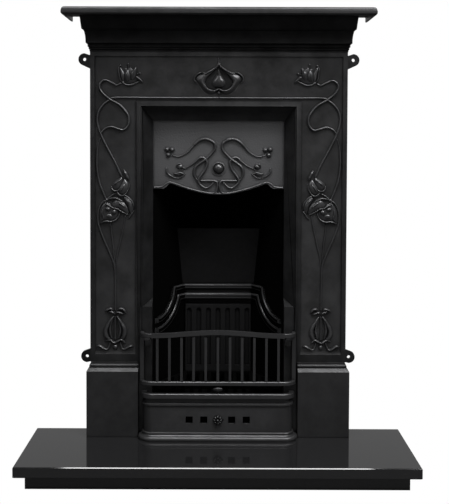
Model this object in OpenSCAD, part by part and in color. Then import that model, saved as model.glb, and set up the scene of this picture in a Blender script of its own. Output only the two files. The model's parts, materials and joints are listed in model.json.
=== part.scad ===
// Cast iron combination fireplace on a boxed granite hearth.
// Millimetres. X runs to the right, the front faces -Y and Z is up. The origin lies on the floor,
// under the middle of the whole object. Distances called "depth" are measured forward of the wall.

/* [Hearth] */
// Width of the hearth slab
hearth_w = 1005; // [930:5:1200]
// Depth of the hearth slab, from the wall to its front edge
hearth_depth = 305; // [260:5:400]
// Thickness of the hearth slab
slab_t = 27; // [20:1:40]
// Height of the strips that box the slab up
box_h = 36; // [20:1:60]
// How far the slab overhangs the strips
box_inset = 25; // [10:1:40]
// Thickness of the strips
strip_t = 25; // [15:1:40]

/* [Frame] */
// Width of the front casting
frame_w = 690; // [670:2:740]
// Height of the foot of the pilasters above the hearth
frame_foot = 202; // [190:1:215]
// Height of the top of the front casting above the hearth
frame_top = 1038; // [1020:1:1080]
// Depth of the face of the front casting
face_depth = 62; // [58:1:70]
// Thickness of the cast walls
iron_t = 8; // [6:0.5:10]
// Width of the flat border round the panels
border_w = 12; // [8:1:18]
// How far the panels lie behind the border
panel_sink = 5; // [3:0.5:6]
// Width of each step of the moulding round the opening
step_w = 7.5; // [5:0.5:9]
// Height of the raised step of that moulding
step_rise = 4; // [2:0.5:6]

/* [Opening] */
// Clear width of the fire opening
opening_w = 357.4; // [340:0.2:366]
// Height of the fire opening above the hearth
opening_top = 855; // [835:1:870]
// Width of the splayed reveal, seen from the front
splay_w = 28.3; // [20:0.1:32]
// Height of the splayed reveal over the opening
splay_h = 36; // [28:1:40]
// Height at which the splay of the jambs stops
splay_stop = 350; // [340:1:370]
// How much the stop of the splay rises towards the back
stop_rise = 21; // [10:1:30]
// Depth of the rear edge of the splay
splay_back = 27; // [24:1:30]

/* [Plinths] */
// Width of each plinth block
plinth_w = 139; // [130:1:144]
// Height of the square part of a plinth
plinth_h = 178; // [165:1:182]
// Depth of the front of a plinth
plinth_depth = 75; // [70:1:82]

/* [Cornice and shelf] */
// How far the cornice stands out past the sides of the frame
cornice_side = 22; // [14:1:28]
// How far the cornice stands out past the face of the frame
cornice_front = 50; // [36:1:60]
// Height of the moulded part of the cornice
cornice_h = 57; // [52:1:62]
// Width of the mantel shelf
shelf_w = 818; // [800:2:850]
// Depth of the front edge of the shelf
shelf_depth = 147; // [138:1:160]
// Height of the top of the shelf above the top of the front casting
shelf_rise = 109; // [105:1:122]
// Thickness of the plate of the shelf
shelf_t = 9; // [7:0.5:11]
// Height of the rim that hangs round the shelf
rim_h = 22; // [18:1:24]
// Width of the rim
rim_w = 9; // [8:0.5:11]

/* [Wall lugs] */
// Distance of the upper lugs from the middle
lug_top_x = 366; // [362:0.5:390]
// Distance of the upper lugs below the top of the front casting
lug_top_drop = 21; // [18:1:48]
// Distance of the lower lugs from the middle
lug_low_x = 360; // [360:0.5:390]
// Height of the lower lugs above the foot of the pilasters
lug_low_rise = 2; // [1:0.5:38]
// Diameter of the hole in each lug
lug_hole = 10.5; // [6:0.5:12]
// Radius of the rounded end of each lug
lug_r = 13; // [11:0.5:15]

/* [Canopy] */
// Height of the lower edge of the canopy at the middle
canopy_mid = 653; // [645:1:660]
// Height of the lower edge of the canopy at its two crests
canopy_crest = 684; // [674:1:688]
// Height of the straight ends of the lower edge
canopy_end = 669.5; // [662:0.5:671]
// Distance of each crest from the middle
crest_x = 131; // [110:1:140]
// Thickness of the canopy
canopy_t = 7; // [5:0.5:8]
// Radius of the boss on the canopy
boss_r = 14; // [10:0.5:18]
// Height of the middle of the boss above the hearth
boss_z = 724; // [710:1:745]

/* [Firebox] */
// Clear width of the firebox at its back
firebox_back_w = 206; // [190:1:220]
// Depth of the firebox behind the wall
firebox_back = 110; // [95:1:118]
// Distance of the rear wall of the smoke space behind the wall
smoke_back = 145; // [138:1:160]
// Distance of the foot of the liners below the top of the grate
firebox_drop = 26; // [22:1:32]
// Height of the foot of the cheeks and the fireback above the hearth
back_foot = 1; // [0.5:0.5:20]
// Height of the top of the leaning fireback
fireback_top = 550; // [515:1:570]
// How far the top of the fireback leans forward
fireback_lean = 25; // [10:1:40]
// Height of the top of the firebox
firebox_top = 691; // [688:1:700]
// Height of the moulded rail round the fire
rail_top = 389; // [375:1:398]
// Height of the rail where it meets the front
rail_low = 312; // [300:1:320]
// Length of the sweep of the rail along each cheek
sweep_len = 86; // [70:0.2:100]
// Width of the upper bead of the rail
bead_upper = 14; // [10:0.5:16]
// Width of the hollow between the beads
bead_gap = 12; // [8:0.5:14]
// Width of the lower bead of the rail
bead_lower = 18; // [12:0.5:20]
// Thickness of the liners
liner_t = 8; // [6:0.5:10]
// How far the beads stand out from the liners
bead_out = 6; // [3:0.5:8]

/* [Ribbed fireback] */
// Height of the top of the ribbed plate
ribbed_top = 330; // [312:1:334]
// Distance between the flutes
flute_pitch = 27.7; // [24:0.1:28]
// Number of flutes
flute_count = 7; // [5:1:7]
// Width of a flute
flute_w = 14; // [8:0.5:18]
// Depth of a flute
flute_sink = 5; // [3:0.5:6]
// Thickness of the ribbed plate
ribbed_t = 11; // [9:0.5:12]

/* [Bottom grate] */
// Height of the top of the grate bars above the ash cover
grate_rise = 11.5; // [11:0.5:15]
// Height of the grate bars
grate_h = 10; // [8:0.5:10.5]
// Distance between the grate bars
grate_pitch = 23.4; // [21:0.1:24]
// Width of a grate bar
grate_bar = 10; // [7:0.5:13]
// Number of grate bars
grate_bars = 13; // [11:2:13]
// Height of the teeth at the front above the bars
tooth_h = 7; // [4:0.5:8]

/* [Front bars] */
// Distance between the outer faces of the front bars' ends
bars_w = 418; // [412:1:424]
// Depth of the front of the front bars
bars_depth = 104; // [96:1:110]
// Radius of the rounded corners in plan
corner_r = 31; // [28:0.5:36]
// Clear height between the ash cover and the lower rail
bars_gap = 22; // [21:0.5:24]
// Height of the lower rail
low_rail_h = 11; // [8:0.5:12]
// Height of the top rail
top_rail_h = 11.5; // [8:0.5:14]
// Height of the front bars at their ends
bars_h = 139.5; // [127:0.5:151]
// How much the top rail rises to its middle
bars_rise = 9; // [0:0.5:14]
// Number of upright bars
bar_count = 11; // [7:2:13]
// Distance between the upright bars
bar_pitch = 32.3; // [24:0.1:32.4]
// Width of an upright bar
bar_w = 6.6; // [5:0.1:10]
// Depth of the rails and bars
rail_t = 10; // [8:0.5:12]

/* [Ash cover] */
// Width of the foot of the ash cover
cover_w = 430; // [424:1:434]
// Depth of the foot of the ash cover
cover_depth = 113; // [110:1:118]
// Height of the ash cover
cover_h = 125.5; // [123:0.5:127]
// Thickness of its wall
cover_t = 5; // [4:0.5:6]
// Distance of the inner vents from the middle
vent_inner = 37.3; // [34:0.1:40]
// Distance of the outer vents from the middle
vent_outer = 76.5; // [74:0.1:80]
// Width and height of a vent
vent_size = 19; // [12:0.5:19]
// Height of the middle of the vents
vent_z = 54.5; // [50:0.5:62]
// Travel of the air slide
slide_travel = 12; // [8:0.5:12]
// Thickness of the air slide
slide_t = 3; // [2:0.5:4]
// Radius of the rosette knob
rosette_r = 13; // [11:0.5:15]
// Length of the oval lifting knob
knob_w = 28; // [20:0.5:34]
// Height of the oval lifting knob
knob_h = 13.5; // [10:0.5:16]

/* [Ash pan] */
// Width of the ash pan
pan_w = 300; // [240:2:330]
// Length of the ash pan from front to back
pan_len = 86; // [70:2:100]
// Height of the ash pan
pan_h = 92; // [60:1:100]
// Thickness of its sheet
pan_t = 2; // [1:0.5:3]

/* [Damper] */
// Width of the flue opening
flue_w = 140; // [100:2:144]
// Length of the flue opening from front to back
flue_len = 92; // [70:1:96]
// Thickness of the damper flap
flap_t = 6; // [4:0.5:7]
// Diameter of the damper's hinge rod
hinge_rod = 8; // [6:0.5:9]

/* [Hidden] */
$fn = 64;
e = 1;              // how far a cut runs past a face
seat_gap = 0.3;     // between loose pieces that rest on or in each other
bolt_r = 4;         // shank of the bolts
bolt_play = 0.3;    // between a shank and its hole
thread_play = 0.05; // between a shank and its tapped hole
head_af = 13;       // across the flats of heads and nuts
head_h = 5.3;
nut_h = 6.5;
bolt_over = 2;      // how far a bolt's end stands past its nut
screw_grip = 7;     // length of a screw in its tapped hole
wall_y = (hearth_depth - smoke_back) / 2;
hearth_top = box_h + slab_t;
frame_half = frame_w / 2;
panel_half = frame_half - border_w;
panel_depth = face_depth - panel_sink;
panel_low = frame_foot + 21;
panel_top = frame_top - border_w;
splay_front = face_depth + step_rise;
inner_half = opening_w / 2;
outer_half = inner_half + splay_w;
splay_top = opening_top + splay_h;
mould_half = outer_half + 2 * step_w;
mould_top = splay_top + 2 * step_w;
flange_back = splay_back - iron_t;
flange_half = inner_half + 36;
leg_half = mould_half - 7;
cornice_cove_top = frame_top + cornice_h;
shelf_top = frame_top + shelf_rise;
lug_top_z = frame_top - lug_top_drop;
lug_low_z = frame_foot + lug_low_rise;
grate_top = cover_h + grate_rise;
firebox_foot = grate_top - firebox_drop;
bars_low = cover_h + bars_gap;
bars_end_top = bars_low + bars_h;
iron_black = [0.13, 0.13, 0.14];

// ---- helpers ----
// Puts the fireplace on the hearth, with the wall at Y = 0 of its own frame
module on_hearth() { translate([0, wall_y, hearth_top]) children(); }
module both_sides() {
    children();
    mirror([1, 0, 0]) children();
}
// A front view (x, z) given a body between two depths
module front_view(d0, d1) { translate([0, -d0, 0]) rotate([90, 0, 0]) linear_extrude(d1 - d0) children(); }
// A side view (depth, z) run across the width
module side_view(half) {
    translate([-half, 0, 0]) rotate([90, 0, 90]) linear_extrude(2 * half) mirror([1, 0]) children();
}
// A plan (x, depth) given a height
module plan_view(z0, z1) { translate([0, 0, z0]) linear_extrude(z1 - z0) mirror([0, 1]) children(); }
module rect(x0, x1, z0, z1) { translate([x0, z0]) square([x1 - x0, z1 - z0]); }
// A round hole or rod along Y between two depths
module rod_y(x, z, r, d0, d1) { translate([x, -d0, z]) rotate([90, 0, 0]) cylinder(h = d1 - d0, r = r); }
module hex_head(h) { cylinder(h = h, d = head_af / cos(30), $fn = 6); }
// A bolt with its head below z = 0 and its shank above
module bolt_up(len) {
    translate([0, 0, -head_h]) hex_head(head_h);
    cylinder(h = len, r = bolt_r);
}
module nut(h = nut_h) {
    difference() {
        hex_head(h);
        translate([0, 0, -e]) cylinder(h = h + 2 * e, r = bolt_r + thread_play);
    }
}
// A moulding profile (out, z) carried round a front with two rounded corners and its two returns
module bow(half, depth, r, back) {
    side_view(half - r) translate([depth, 0]) children();
    both_sides() {
        front_view(back, depth - r) translate([half, 0]) children();
        translate([half - r, -(depth - r), 0])
            rotate([0, 0, -90]) rotate_extrude(angle = 90) translate([r, 0]) children();
    }
}

// ---- hearth ----
strip_front = hearth_depth - box_inset;
strip_half = hearth_w / 2 - box_inset;

module hearth_slab() {
    edge = 2;
    color([0.06, 0.06, 0.065]) translate([0, wall_y, box_h]) intersection() {
        side_view(hearth_w / 2) polygon([[0, 0], [hearth_depth - edge, 0], [hearth_depth, edge],
            [hearth_depth, slab_t - edge], [hearth_depth - edge, slab_t], [0, slab_t]]);
        front_view(0, hearth_depth) polygon([for (s = [1, -1]) each [
            [s * (hearth_w / 2 - edge), s > 0 ? 0 : slab_t],
            [s * hearth_w / 2, s > 0 ? edge : slab_t - edge],
            [s * hearth_w / 2, s > 0 ? slab_t - edge : edge],
            [s * (hearth_w / 2 - edge), s > 0 ? slab_t : 0]]]);
    }
}
module hearth_front_strip() {
    color([0.05, 0.05, 0.055]) translate([0, wall_y, 0]) plan_view(0, box_h)
        rect(-strip_half, strip_half, strip_front - strip_t, strip_front);
}
module hearth_side_strips() {
    color([0.05, 0.05, 0.055]) translate([0, wall_y, 0]) both_sides() plan_view(0, box_h)
        rect(strip_half - strip_t, strip_half, strip_t, strip_front - strip_t);
}
module hearth_back_strip() {
    color([0.05, 0.05, 0.055]) translate([0, wall_y, 0]) plan_view(0, box_h)
        rect(-strip_half, strip_half, 0, strip_t);
}

// ---- front casting ----
function splay_x(d, g) = inner_half + g + (d - splay_back) * splay_w / (splay_front - splay_back);
function splay_z(d, g) = opening_top + g + (d - splay_back) * splay_h / (splay_front - splay_back);
function stop_z(d, g) = splay_stop - g + (splay_front - d) * stop_rise / (splay_front - splay_back);
splay_cut = splay_front + e;
splay_rear = flange_back - e;
// The space inside the splay, or that space grown by g for its outer wall
module splay_space(g, d0, d1) {
    intersection() {
        plan_view(splay_stop - 2 * iron_t - e, splay_top + 2 * iron_t) polygon([
            [-splay_x(d0, g), d0], [splay_x(d0, g), d0], [splay_x(d1, g), d1], [-splay_x(d1, g), d1]]);
        side_view(mould_half + e) polygon([
            [d0, stop_z(d0, g)], [d1, stop_z(d1, g)], [d1, splay_z(d1, g)], [d0, splay_z(d0, g)]]);
    }
}
module panel_shape() {
    difference() {
        rect(-panel_half, panel_half, panel_low, panel_top);
        rect(-mould_half, mould_half, panel_low - e, mould_top);
    }
}
module casting_outline() {
    rect(-frame_half, frame_half, frame_foot, frame_top);
    both_sides_2d() rect(inner_half, leg_half, 0, frame_foot + e);
}
module both_sides_2d() {
    children();
    mirror([1, 0]) children();
}
module raised_step() {
    rise_half = outer_half + step_w;
    difference() {
        rect(-rise_half, rise_half, frame_foot, splay_top + step_w);
        rect(-inner_half, inner_half, frame_foot - e, splay_stop);
        rect(-outer_half, outer_half, frame_foot - e, splay_top - e);
    }
}
lug_flat = 14;
module lug_shape(x, z, up) {
    translate([x, z]) circle(lug_r);
    polygon([[frame_half - iron_t, z + up * lug_flat], [x, z + up * lug_r],
        [x + lug_r * sin(30), z - up * lug_r * cos(30)], [frame_half - iron_t, z - up * (lug_flat + 14)]]);
}
sill_rise = 9;
hook_x = 188;
hook_low = bars_end_top - top_rail_h - 26;
hook_h = 14;
hook_out = 16;
pin_r = 4;
pin_play = 0.4;
pin_depth = face_depth + hook_out / 2 + 1;
plinth_bolt_x = [260, 310];
plinth_bolt_depth = 30;
cornice_bolt_x = [-240, 0, 240];
cornice_bolt_depth = 26;
canopy_screw_x = inner_half + 7;
canopy_screw_z = [canopy_mid + 70, opening_top - 20];
cheek_screw_x = inner_half + 26;
cheek_screw_z = [firebox_foot + 46, rail_top + 5, canopy_mid - 48];
screw_len = 13;

module front_casting() {
    color(iron_black) on_hearth() difference() {
        union() {
            front_view(panel_depth - iron_t, panel_depth) casting_outline();
            front_view(panel_depth - e, face_depth) difference() {
                casting_outline();
                panel_shape();
            }
            front_view(face_depth - e, splay_front) raised_step();
            // sloped sill under each pilaster panel
            both_sides() translate([(mould_half + panel_half) / 2, 0, 0])
                side_view((panel_half - mould_half) / 2)
                    polygon([[panel_depth - e, panel_low - e], [face_depth, panel_low - e],
                        [panel_depth, panel_low + sill_rise], [panel_depth - e, panel_low + sill_rise]]);
            // side returns to the wall, top flange and pilaster feet
            both_sides() front_view(0, panel_depth)
                rect(frame_half - iron_t, frame_half, frame_foot, frame_top);
            front_view(0, panel_depth) rect(-frame_half, frame_half, frame_top - iron_t, frame_top);
            both_sides() front_view(0, panel_depth)
                rect(leg_half, frame_half, frame_foot, frame_foot + iron_t);
            // the two legs that stand on the hearth
            both_sides() front_view(flange_back, panel_depth) {
                rect(leg_half - iron_t, leg_half, 0, frame_foot + iron_t);
                rect(inner_half, inner_half + iron_t, 0, splay_stop + stop_rise);
            }
            // splayed reveal and the flange behind it
            intersection() {
                splay_space(iron_t, splay_rear, splay_cut);
                front_view(flange_back, face_depth)
                    rect(-mould_half, mould_half, splay_stop, splay_top + iron_t + e);
            }
            front_view(flange_back, splay_back + e) difference() {
                rect(-flange_half, flange_half, firebox_foot, opening_top + 30);
                rect(-inner_half, inner_half, firebox_foot - e, opening_top);
            }
            // wall lugs
            front_view(0, iron_t) both_sides_2d() {
                lug_shape(lug_top_x, lug_top_z, 1);
                difference() {
                    lug_shape(lug_low_x, lug_low_z, -1);
                    rect(0, plinth_outer - cap_in + 2 + seat_gap, 0, frame_foot);
                }
            }
            // sockets that the front bars drop into
            both_sides() front_view(face_depth - e, face_depth + hook_out)
                rect(hook_x - 8, hook_x + 8, hook_low, hook_low + hook_h);
        }
        splay_space(0, splay_rear, splay_cut);
        // straight opening, which passes through the flange and down to the hearth
        front_view(flange_back - e, splay_cut) rect(-inner_half, inner_half, -e, opening_top);
        both_sides() {
            rod_y(lug_top_x, lug_top_z, lug_hole / 2, -e, iron_t + e);
            rod_y(lug_low_x, lug_low_z, lug_hole / 2, -e, iron_t + e);
            translate([hook_x, -pin_depth, hook_low - e]) cylinder(h = hook_h + 2 * e, r = pin_r + pin_play);
            for (x = plinth_bolt_x) translate([x, -plinth_bolt_depth, frame_foot - e])
                cylinder(h = iron_t + 2 * e, r = bolt_r + bolt_play);
            for (z = canopy_screw_z)
                rod_y(canopy_screw_x, z, bolt_r + thread_play, flange_back - e, flange_back + screw_grip + e);
            for (z = cheek_screw_z)
                rod_y(cheek_screw_x, z, bolt_r + thread_play, flange_back - e, splay_back + 2 * e);
        }
        for (x = cornice_bolt_x) translate([x, -cornice_bolt_depth, frame_top - iron_t - e])
            cylinder(h = iron_t + 2 * e, r = bolt_r + bolt_play);
    }
}

// ---- plinths ----
cap_in = 9;
plinth_inner = leg_half + seat_gap;
plinth_outer = plinth_inner + plinth_w;
// Outside of the plinth from its foot up, as (out, height)
function plinth_profile() = [
    [0, 0], [0, plinth_h], [-cap_in, plinth_h + 9], [-cap_in + 2, plinth_h + 12],
    [-cap_in + 2, plinth_h + 16], [-cap_in, plinth_h + 18], [-cap_in - 2, plinth_h + 19],
    [-cap_in - 2, frame_foot]];
// That outside drawn in by g, and cut off at heights z0 and z1
function plinth_edge(start, g, z0, z1) =
    [for (p = plinth_profile()) [start + p[0] - g, p[1] <= 0 ? z0 : min(z1, p[1])]];
module plinth_body(g, back, z0, z1) {
    intersection() {
        front_view(back, plinth_depth) polygon(concat(
            [[plinth_inner + g, z0]], plinth_edge(plinth_outer, g, z0, z1), [[plinth_inner + g, z1]]));
        side_view(plinth_outer + e) polygon(concat(
            [[back, z0]], plinth_edge(plinth_depth, g, z0, z1), [[back, z1]]));
    }
}
module plinth() {
    on_hearth() difference() {
        plinth_body(0, 0, 0, frame_foot);
        plinth_body(iron_t, -e, -e, frame_foot - iron_t);
        for (x = plinth_bolt_x) translate([x, -plinth_bolt_depth, frame_foot - iron_t - e])
            cylinder(h = iron_t + 2 * e, r = bolt_r + bolt_play);
    }
}
module plinth_right() { color(iron_black) plinth(); }
module plinth_left() { color(iron_black) mirror([1, 0, 0]) plinth(); }
module plinth_bolts() {
    color("dimgray") on_hearth() both_sides() for (x = plinth_bolt_x)
        translate([x, -plinth_bolt_depth, frame_foot - iron_t]) bolt_up(2 * iron_t + nut_h + bolt_over);
}
module plinth_nuts() {
    color("dimgray") on_hearth() both_sides() for (x = plinth_bolt_x)
        translate([x, -plinth_bolt_depth, frame_foot + iron_t]) nut();
}

// ---- cornice ----
// Profile of the cornice: how far it stands out at each height, as a share of its full projection
function cove(n = 8) = [for (i = [0:n])
    [0.40 + 0.28 * (1 - cos(90 * i / n)), frame_top + 21 + (cornice_h - 23) * sin(90 * i / n)]];
function cornice_profile() = concat(
    [[0.04, frame_top], [0.04, frame_top + 5], [0.12, frame_top + 6], [0.12, frame_top + 11],
     [0.22, frame_top + 12], [0.22, frame_top + 18], [0.40, frame_top + 21]],
    cove(),
    [[0.70, cornice_cove_top], [1, cornice_cove_top], [1, shelf_top - shelf_t]]);
module mitred(profile, half, depth, out_x, out_d, g, z_low, z_high) {
    intersection() {
        side_view(half + out_x + e) polygon(concat(
            [[-g, z_low]],
            [for (p = profile) [depth + p[0] * out_d - g, max(z_low, min(z_high, p[1]))]],
            [[-g, z_high]]));
        front_view(-g, depth + out_d + e) polygon(concat(
            [for (p = profile) [half + p[0] * out_x - g, max(z_low, min(z_high, p[1]))]],
            [for (i = [len(profile) - 1:-1:0])
                [-half - profile[i][0] * out_x + g, max(z_low, min(z_high, profile[i][1]))]]));
    }
}
shelf_boss_h = 8;
cornice_shelf_z = shelf_top - shelf_t - shelf_boss_h;
shelf_screw_x = [-230, 0, 230];
shelf_screw_depth = 60;
module cornice() {
    color(iron_black) on_hearth() difference() {
        mitred(cornice_profile(), frame_half, face_depth, cornice_side, cornice_front, 0,
            frame_top, shelf_top - shelf_t);
        mitred(cornice_profile(), frame_half, face_depth, cornice_side, cornice_front, iron_t,
            frame_top + iron_t, cornice_shelf_z - iron_t);
        // well above the upper flange, for the bosses of the shelf
        plan_view(cornice_shelf_z, shelf_top)
            rect(-frame_half - cornice_side + iron_t, frame_half + cornice_side - iron_t,
                -e, face_depth + cornice_front - iron_t);
        for (x = cornice_bolt_x) translate([x, -cornice_bolt_depth, frame_top - e])
            cylinder(h = iron_t + 2 * e, r = bolt_r + bolt_play);
        for (x = shelf_screw_x) translate([x, -shelf_screw_depth, cornice_shelf_z - iron_t - e])
            cylinder(h = iron_t + 2 * e, r = bolt_r + bolt_play);
    }
}
module cornice_bolts() {
    color("dimgray") on_hearth() for (x = cornice_bolt_x)
        translate([x, -cornice_bolt_depth, frame_top - iron_t]) bolt_up(2 * iron_t + nut_h + bolt_over);
}
module cornice_nuts() {
    color("dimgray") on_hearth() for (x = cornice_bolt_x)
        translate([x, -cornice_bolt_depth, frame_top + iron_t]) nut();
}

// ---- mantel shelf ----
shelf_half = shelf_w / 2;
function nosing(n = 6) = concat(
    [[-rim_w, shelf_top - rim_h], [-6, shelf_top - rim_h], [-3, shelf_top - rim_h + 1],
     [0, shelf_top - rim_h + 5], [0, shelf_top - 11]],
    [for (i = [0:n]) [-8 + 7 * cos(90 * i / n), shelf_top - 8 + 7.5 * sin(90 * i / n)]],
    [[-9.5, shelf_top]]);
module mantel_shelf() {
    color(iron_black) on_hearth() difference() {
        union() {
            difference() {
                mitred(nosing(), shelf_half, shelf_depth, 1, 1, 0, shelf_top - rim_h, shelf_top);
                plan_view(shelf_top - rim_h - e, shelf_top - shelf_t)
                    rect(rim_w - shelf_half, shelf_half - rim_w, -e, shelf_depth - rim_w);
            }
            for (x = shelf_screw_x) translate([x, -shelf_screw_depth, cornice_shelf_z])
                cylinder(h = shelf_boss_h + e, r = 12);
        }
        for (x = shelf_screw_x) translate([x, -shelf_screw_depth, cornice_shelf_z - e])
            cylinder(h = screw_len, r = bolt_r + thread_play);
    }
}
module shelf_screws() {
    color("dimgray") on_hearth() for (x = shelf_screw_x)
        translate([x, -shelf_screw_depth, cornice_shelf_z - iron_t]) bolt_up(iron_t + screw_len - 3);
}

// ---- canopy ----
canopy_half = inner_half + 14;
canopy_face = flange_back;
end_x = crest_x + 19;
// Height of the wavy lower edge at a distance x from the middle
function canopy_edge(x) = let (a = abs(x))
    a < crest_x ? canopy_mid + (canopy_crest - canopy_mid) * pow(a / crest_x, 1.75)
    : a < end_x ? canopy_end
        + (canopy_crest - canopy_end) * (1 + cos(180 * (a - crest_x) / (end_x - crest_x))) / 2
    : canopy_end;
edge_x = concat([-canopy_half], [for (i = [-20:20]) i * end_x / 20], [canopy_half]);
module canopy_shape(lift, top) {
    polygon(concat([for (x = edge_x) [x, canopy_edge(x) + lift]], [[canopy_half, top], [-canopy_half, top]]));
}
module canopy() {
    bead = 5;
    ring_r = boss_r + 5.5;
    color(iron_black) on_hearth() difference() {
        union() {
            front_view(canopy_face - canopy_t, canopy_face) canopy_shape(0, opening_top + 14);
            // bead along the lower edge, inside the opening
            front_view(canopy_face - e, canopy_face + 3) intersection() {
                difference() {
                    canopy_shape(0, opening_top);
                    canopy_shape(bead, opening_top + e);
                }
                rect(-inner_half + 1, inner_half - 1, canopy_mid - e, opening_top);
            }
            // boss and its ring
            front_view(canopy_face - e, canopy_face + 2.5) translate([0, boss_z]) difference() {
                circle(ring_r);
                circle(ring_r - 3);
            }
            translate([0, -canopy_face + 6, boss_z]) intersection() {
                sphere(r = boss_r);
                front_view(5, 2 * boss_r) square(3 * boss_r, center = true);
            }
        }
        both_sides() for (z = canopy_screw_z)
            rod_y(canopy_screw_x, z, bolt_r + bolt_play, canopy_face - canopy_t - e, canopy_face + e);
    }
}
module canopy_screws() {
    color("dimgray") on_hearth() both_sides() for (z = canopy_screw_z)
        translate([canopy_screw_x, -(canopy_face - canopy_t), z]) rotate([90, 0, 0])
            bolt_up(canopy_t + screw_grip);
}

// ---- firebox ----
back_half = firebox_back_w / 2;
cheek_run = flange_back + firebox_back;
cheek_a = atan((inner_half - back_half) / cheek_run);
cheek_len = (flange_back + smoke_back) / cos(cheek_a);
fire_len = cheek_run / cos(cheek_a);
cheek_ear = 20;
ear_from = 14;
cheek_split = canopy_end - 10;
canopy_back = flange_back - canopy_t;
// Frame on the inner face of the right cheek: X runs back, Y inward, Z up, from the front edge
module cheek_frame() { translate([inner_half, -flange_back, 0]) rotate([0, 0, 90 + cheek_a]) children(); }
fb_bolt_z = [firebox_foot + 66, rail_top + 45];
fb_flange = 32;
fb_flange_t = 6;
fb_flange_top = fireback_top - 80;
fb_bolt_u = fire_len + iron_t + 18;
throat_bolt_u = [60, 150];
module cheek() {
    on_hearth() difference() {
        union() {
            cheek_frame() {
                translate([0, -iron_t, back_foot]) cube([cheek_len, iron_t, firebox_top - back_foot]);
                translate([ear_from, -iron_t - cheek_ear, firebox_top - iron_t])
                    cube([cheek_len - ear_from, cheek_ear + e, iron_t]);
            }
            front_view(flange_back - iron_t, flange_back)
                rect(inner_half, flange_half, back_foot, cheek_split);
        }
        // the plate stops at the flange, and behind the canopy above it
        plan_view(0, firebox_top + e)
            rect(0, 2 * inner_half, flange_back, flange_back + 4 * iron_t);
        plan_view(cheek_split, firebox_top + e)
            rect(0, 2 * inner_half, canopy_back - seat_gap, flange_back + iron_t);
        plan_view(0, firebox_top + e)
            rect(-inner_half, 2 * inner_half, -smoke_back - 4 * iron_t, -smoke_back);
        for (z = cheek_screw_z)
            rod_y(cheek_screw_x, z, bolt_r + bolt_play, flange_back - iron_t - e, flange_back + e);
        cheek_frame() {
            for (z = fb_bolt_z) translate([fb_bolt_u, -iron_t - e, z])
                rotate([-90, 0, 0]) cylinder(h = iron_t + 2 * e, r = bolt_r + bolt_play);
            for (u = throat_bolt_u) translate([u, -iron_t - cheek_ear / 2, firebox_top - iron_t - e])
                cylinder(h = iron_t + 2 * e, r = bolt_r + bolt_play);
        }
    }
}
module cheek_right() { color(iron_black) cheek(); }
module cheek_left() { color(iron_black) mirror([1, 0, 0]) cheek(); }
module cheek_screws() {
    color("dimgray") on_hearth() both_sides() for (z = cheek_screw_z)
        translate([cheek_screw_x, -(flange_back - iron_t), z]) rotate([90, 0, 0])
            bolt_up(iron_t + screw_grip);
}

// Half width between the cheeks at a distance behind the wall
function between(back) = inner_half - (flange_back + back) * tan(cheek_a) - seat_gap;
lean_from = rail_top + 1;
module fireback() {
    lean_back = firebox_back - fireback_lean;
    color([0.08, 0.08, 0.085]) on_hearth() {
        // the plate: upright behind the fire, leaning forward above the rail
        intersection() {
            side_view(inner_half) polygon([
                [-firebox_back, back_foot], [-firebox_back, lean_from], [-lean_back, fireback_top],
                [-lean_back - iron_t, fireback_top], [-firebox_back - iron_t, lean_from + 3],
                [-firebox_back - iron_t, back_foot]]);
            plan_view(0, fireback_top + e) polygon([
                [-between(lean_back), -lean_back], [between(lean_back), -lean_back],
                [between(firebox_back + iron_t), -firebox_back - iron_t],
                [-between(firebox_back + iron_t), -firebox_back - iron_t]]);
        }
        // flanges that lie on the cheeks
        both_sides() difference() {
            cheek_frame() translate([fire_len + 4, seat_gap, back_foot])
                cube([fb_flange, fb_flange_t, fb_flange_top - back_foot]);
            cheek_frame() for (z = fb_bolt_z) translate([fb_bolt_u, -e, z])
                rotate([-90, 0, 0]) cylinder(h = 2 * iron_t, r = bolt_r + bolt_play);
        }
    }
}
module fireback_bolts() {
    color("dimgray") on_hearth() both_sides() cheek_frame() for (z = fb_bolt_z)
        translate([fb_bolt_u, -iron_t, z]) rotate([-90, 0, 0])
            bolt_up(iron_t + seat_gap + fb_flange_t + nut_h + bolt_over);
}
module fireback_nuts() {
    color("dimgray") on_hearth() both_sides() cheek_frame() for (z = fb_bolt_z)
        translate([fb_bolt_u, fb_flange_t + seat_gap, z]) rotate([-90, 0, 0]) nut();
}

// Outline below the swept rail, o below the top edge, in the plane of a cheek
function sweep_edge(o, n = 18) = let (drop = rail_top - rail_low + o, end = acos(o / drop))
    [for (i = [0:n]) [(sweep_len + o) * sin(end * i / n), rail_top - drop * cos(end * i / n)]];
liner_len = fire_len - 1;
module below_rail(o, low) {
    polygon(concat([[0, low]], sweep_edge(o), [[liner_len, rail_top - o], [liner_len, low]]));
}
module rail_band(o0, o1) {
    difference() {
        below_rail(o0, rail_low - 3 * bead_lower);
        below_rail(o1, rail_low - 4 * bead_lower);
    }
}
lower_bead_from = bead_upper + bead_gap;
rail_h = lower_bead_from + bead_lower;
// A rounded bead between two offsets from the rail's edge, laid up in steps of a half round
bead_steps = 3;
module bead(o0, o1) {
    for (i = [0:bead_steps - 1]) let (inset = (o1 - o0) / 2 * (1 - cos(90 * i / bead_steps)))
        translate([0, liner_t + bead_out * sin(90 * (i + 1) / bead_steps), 0]) rotate([90, 0, 0])
            linear_extrude(bead_out * sin(90 * (i + 1) / bead_steps) + e) rail_band(o0 + inset, o1 - inset);
}
module liner() {
    on_hearth() intersection() {
        cheek_frame() {
            translate([0, liner_t, 0]) rotate([90, 0, 0]) linear_extrude(liner_t - seat_gap)
                below_rail(0, firebox_foot);
            bead(0, bead_upper);
            bead(lower_bead_from, rail_h);
        }
        inside_firebox();
    }
}
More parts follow.
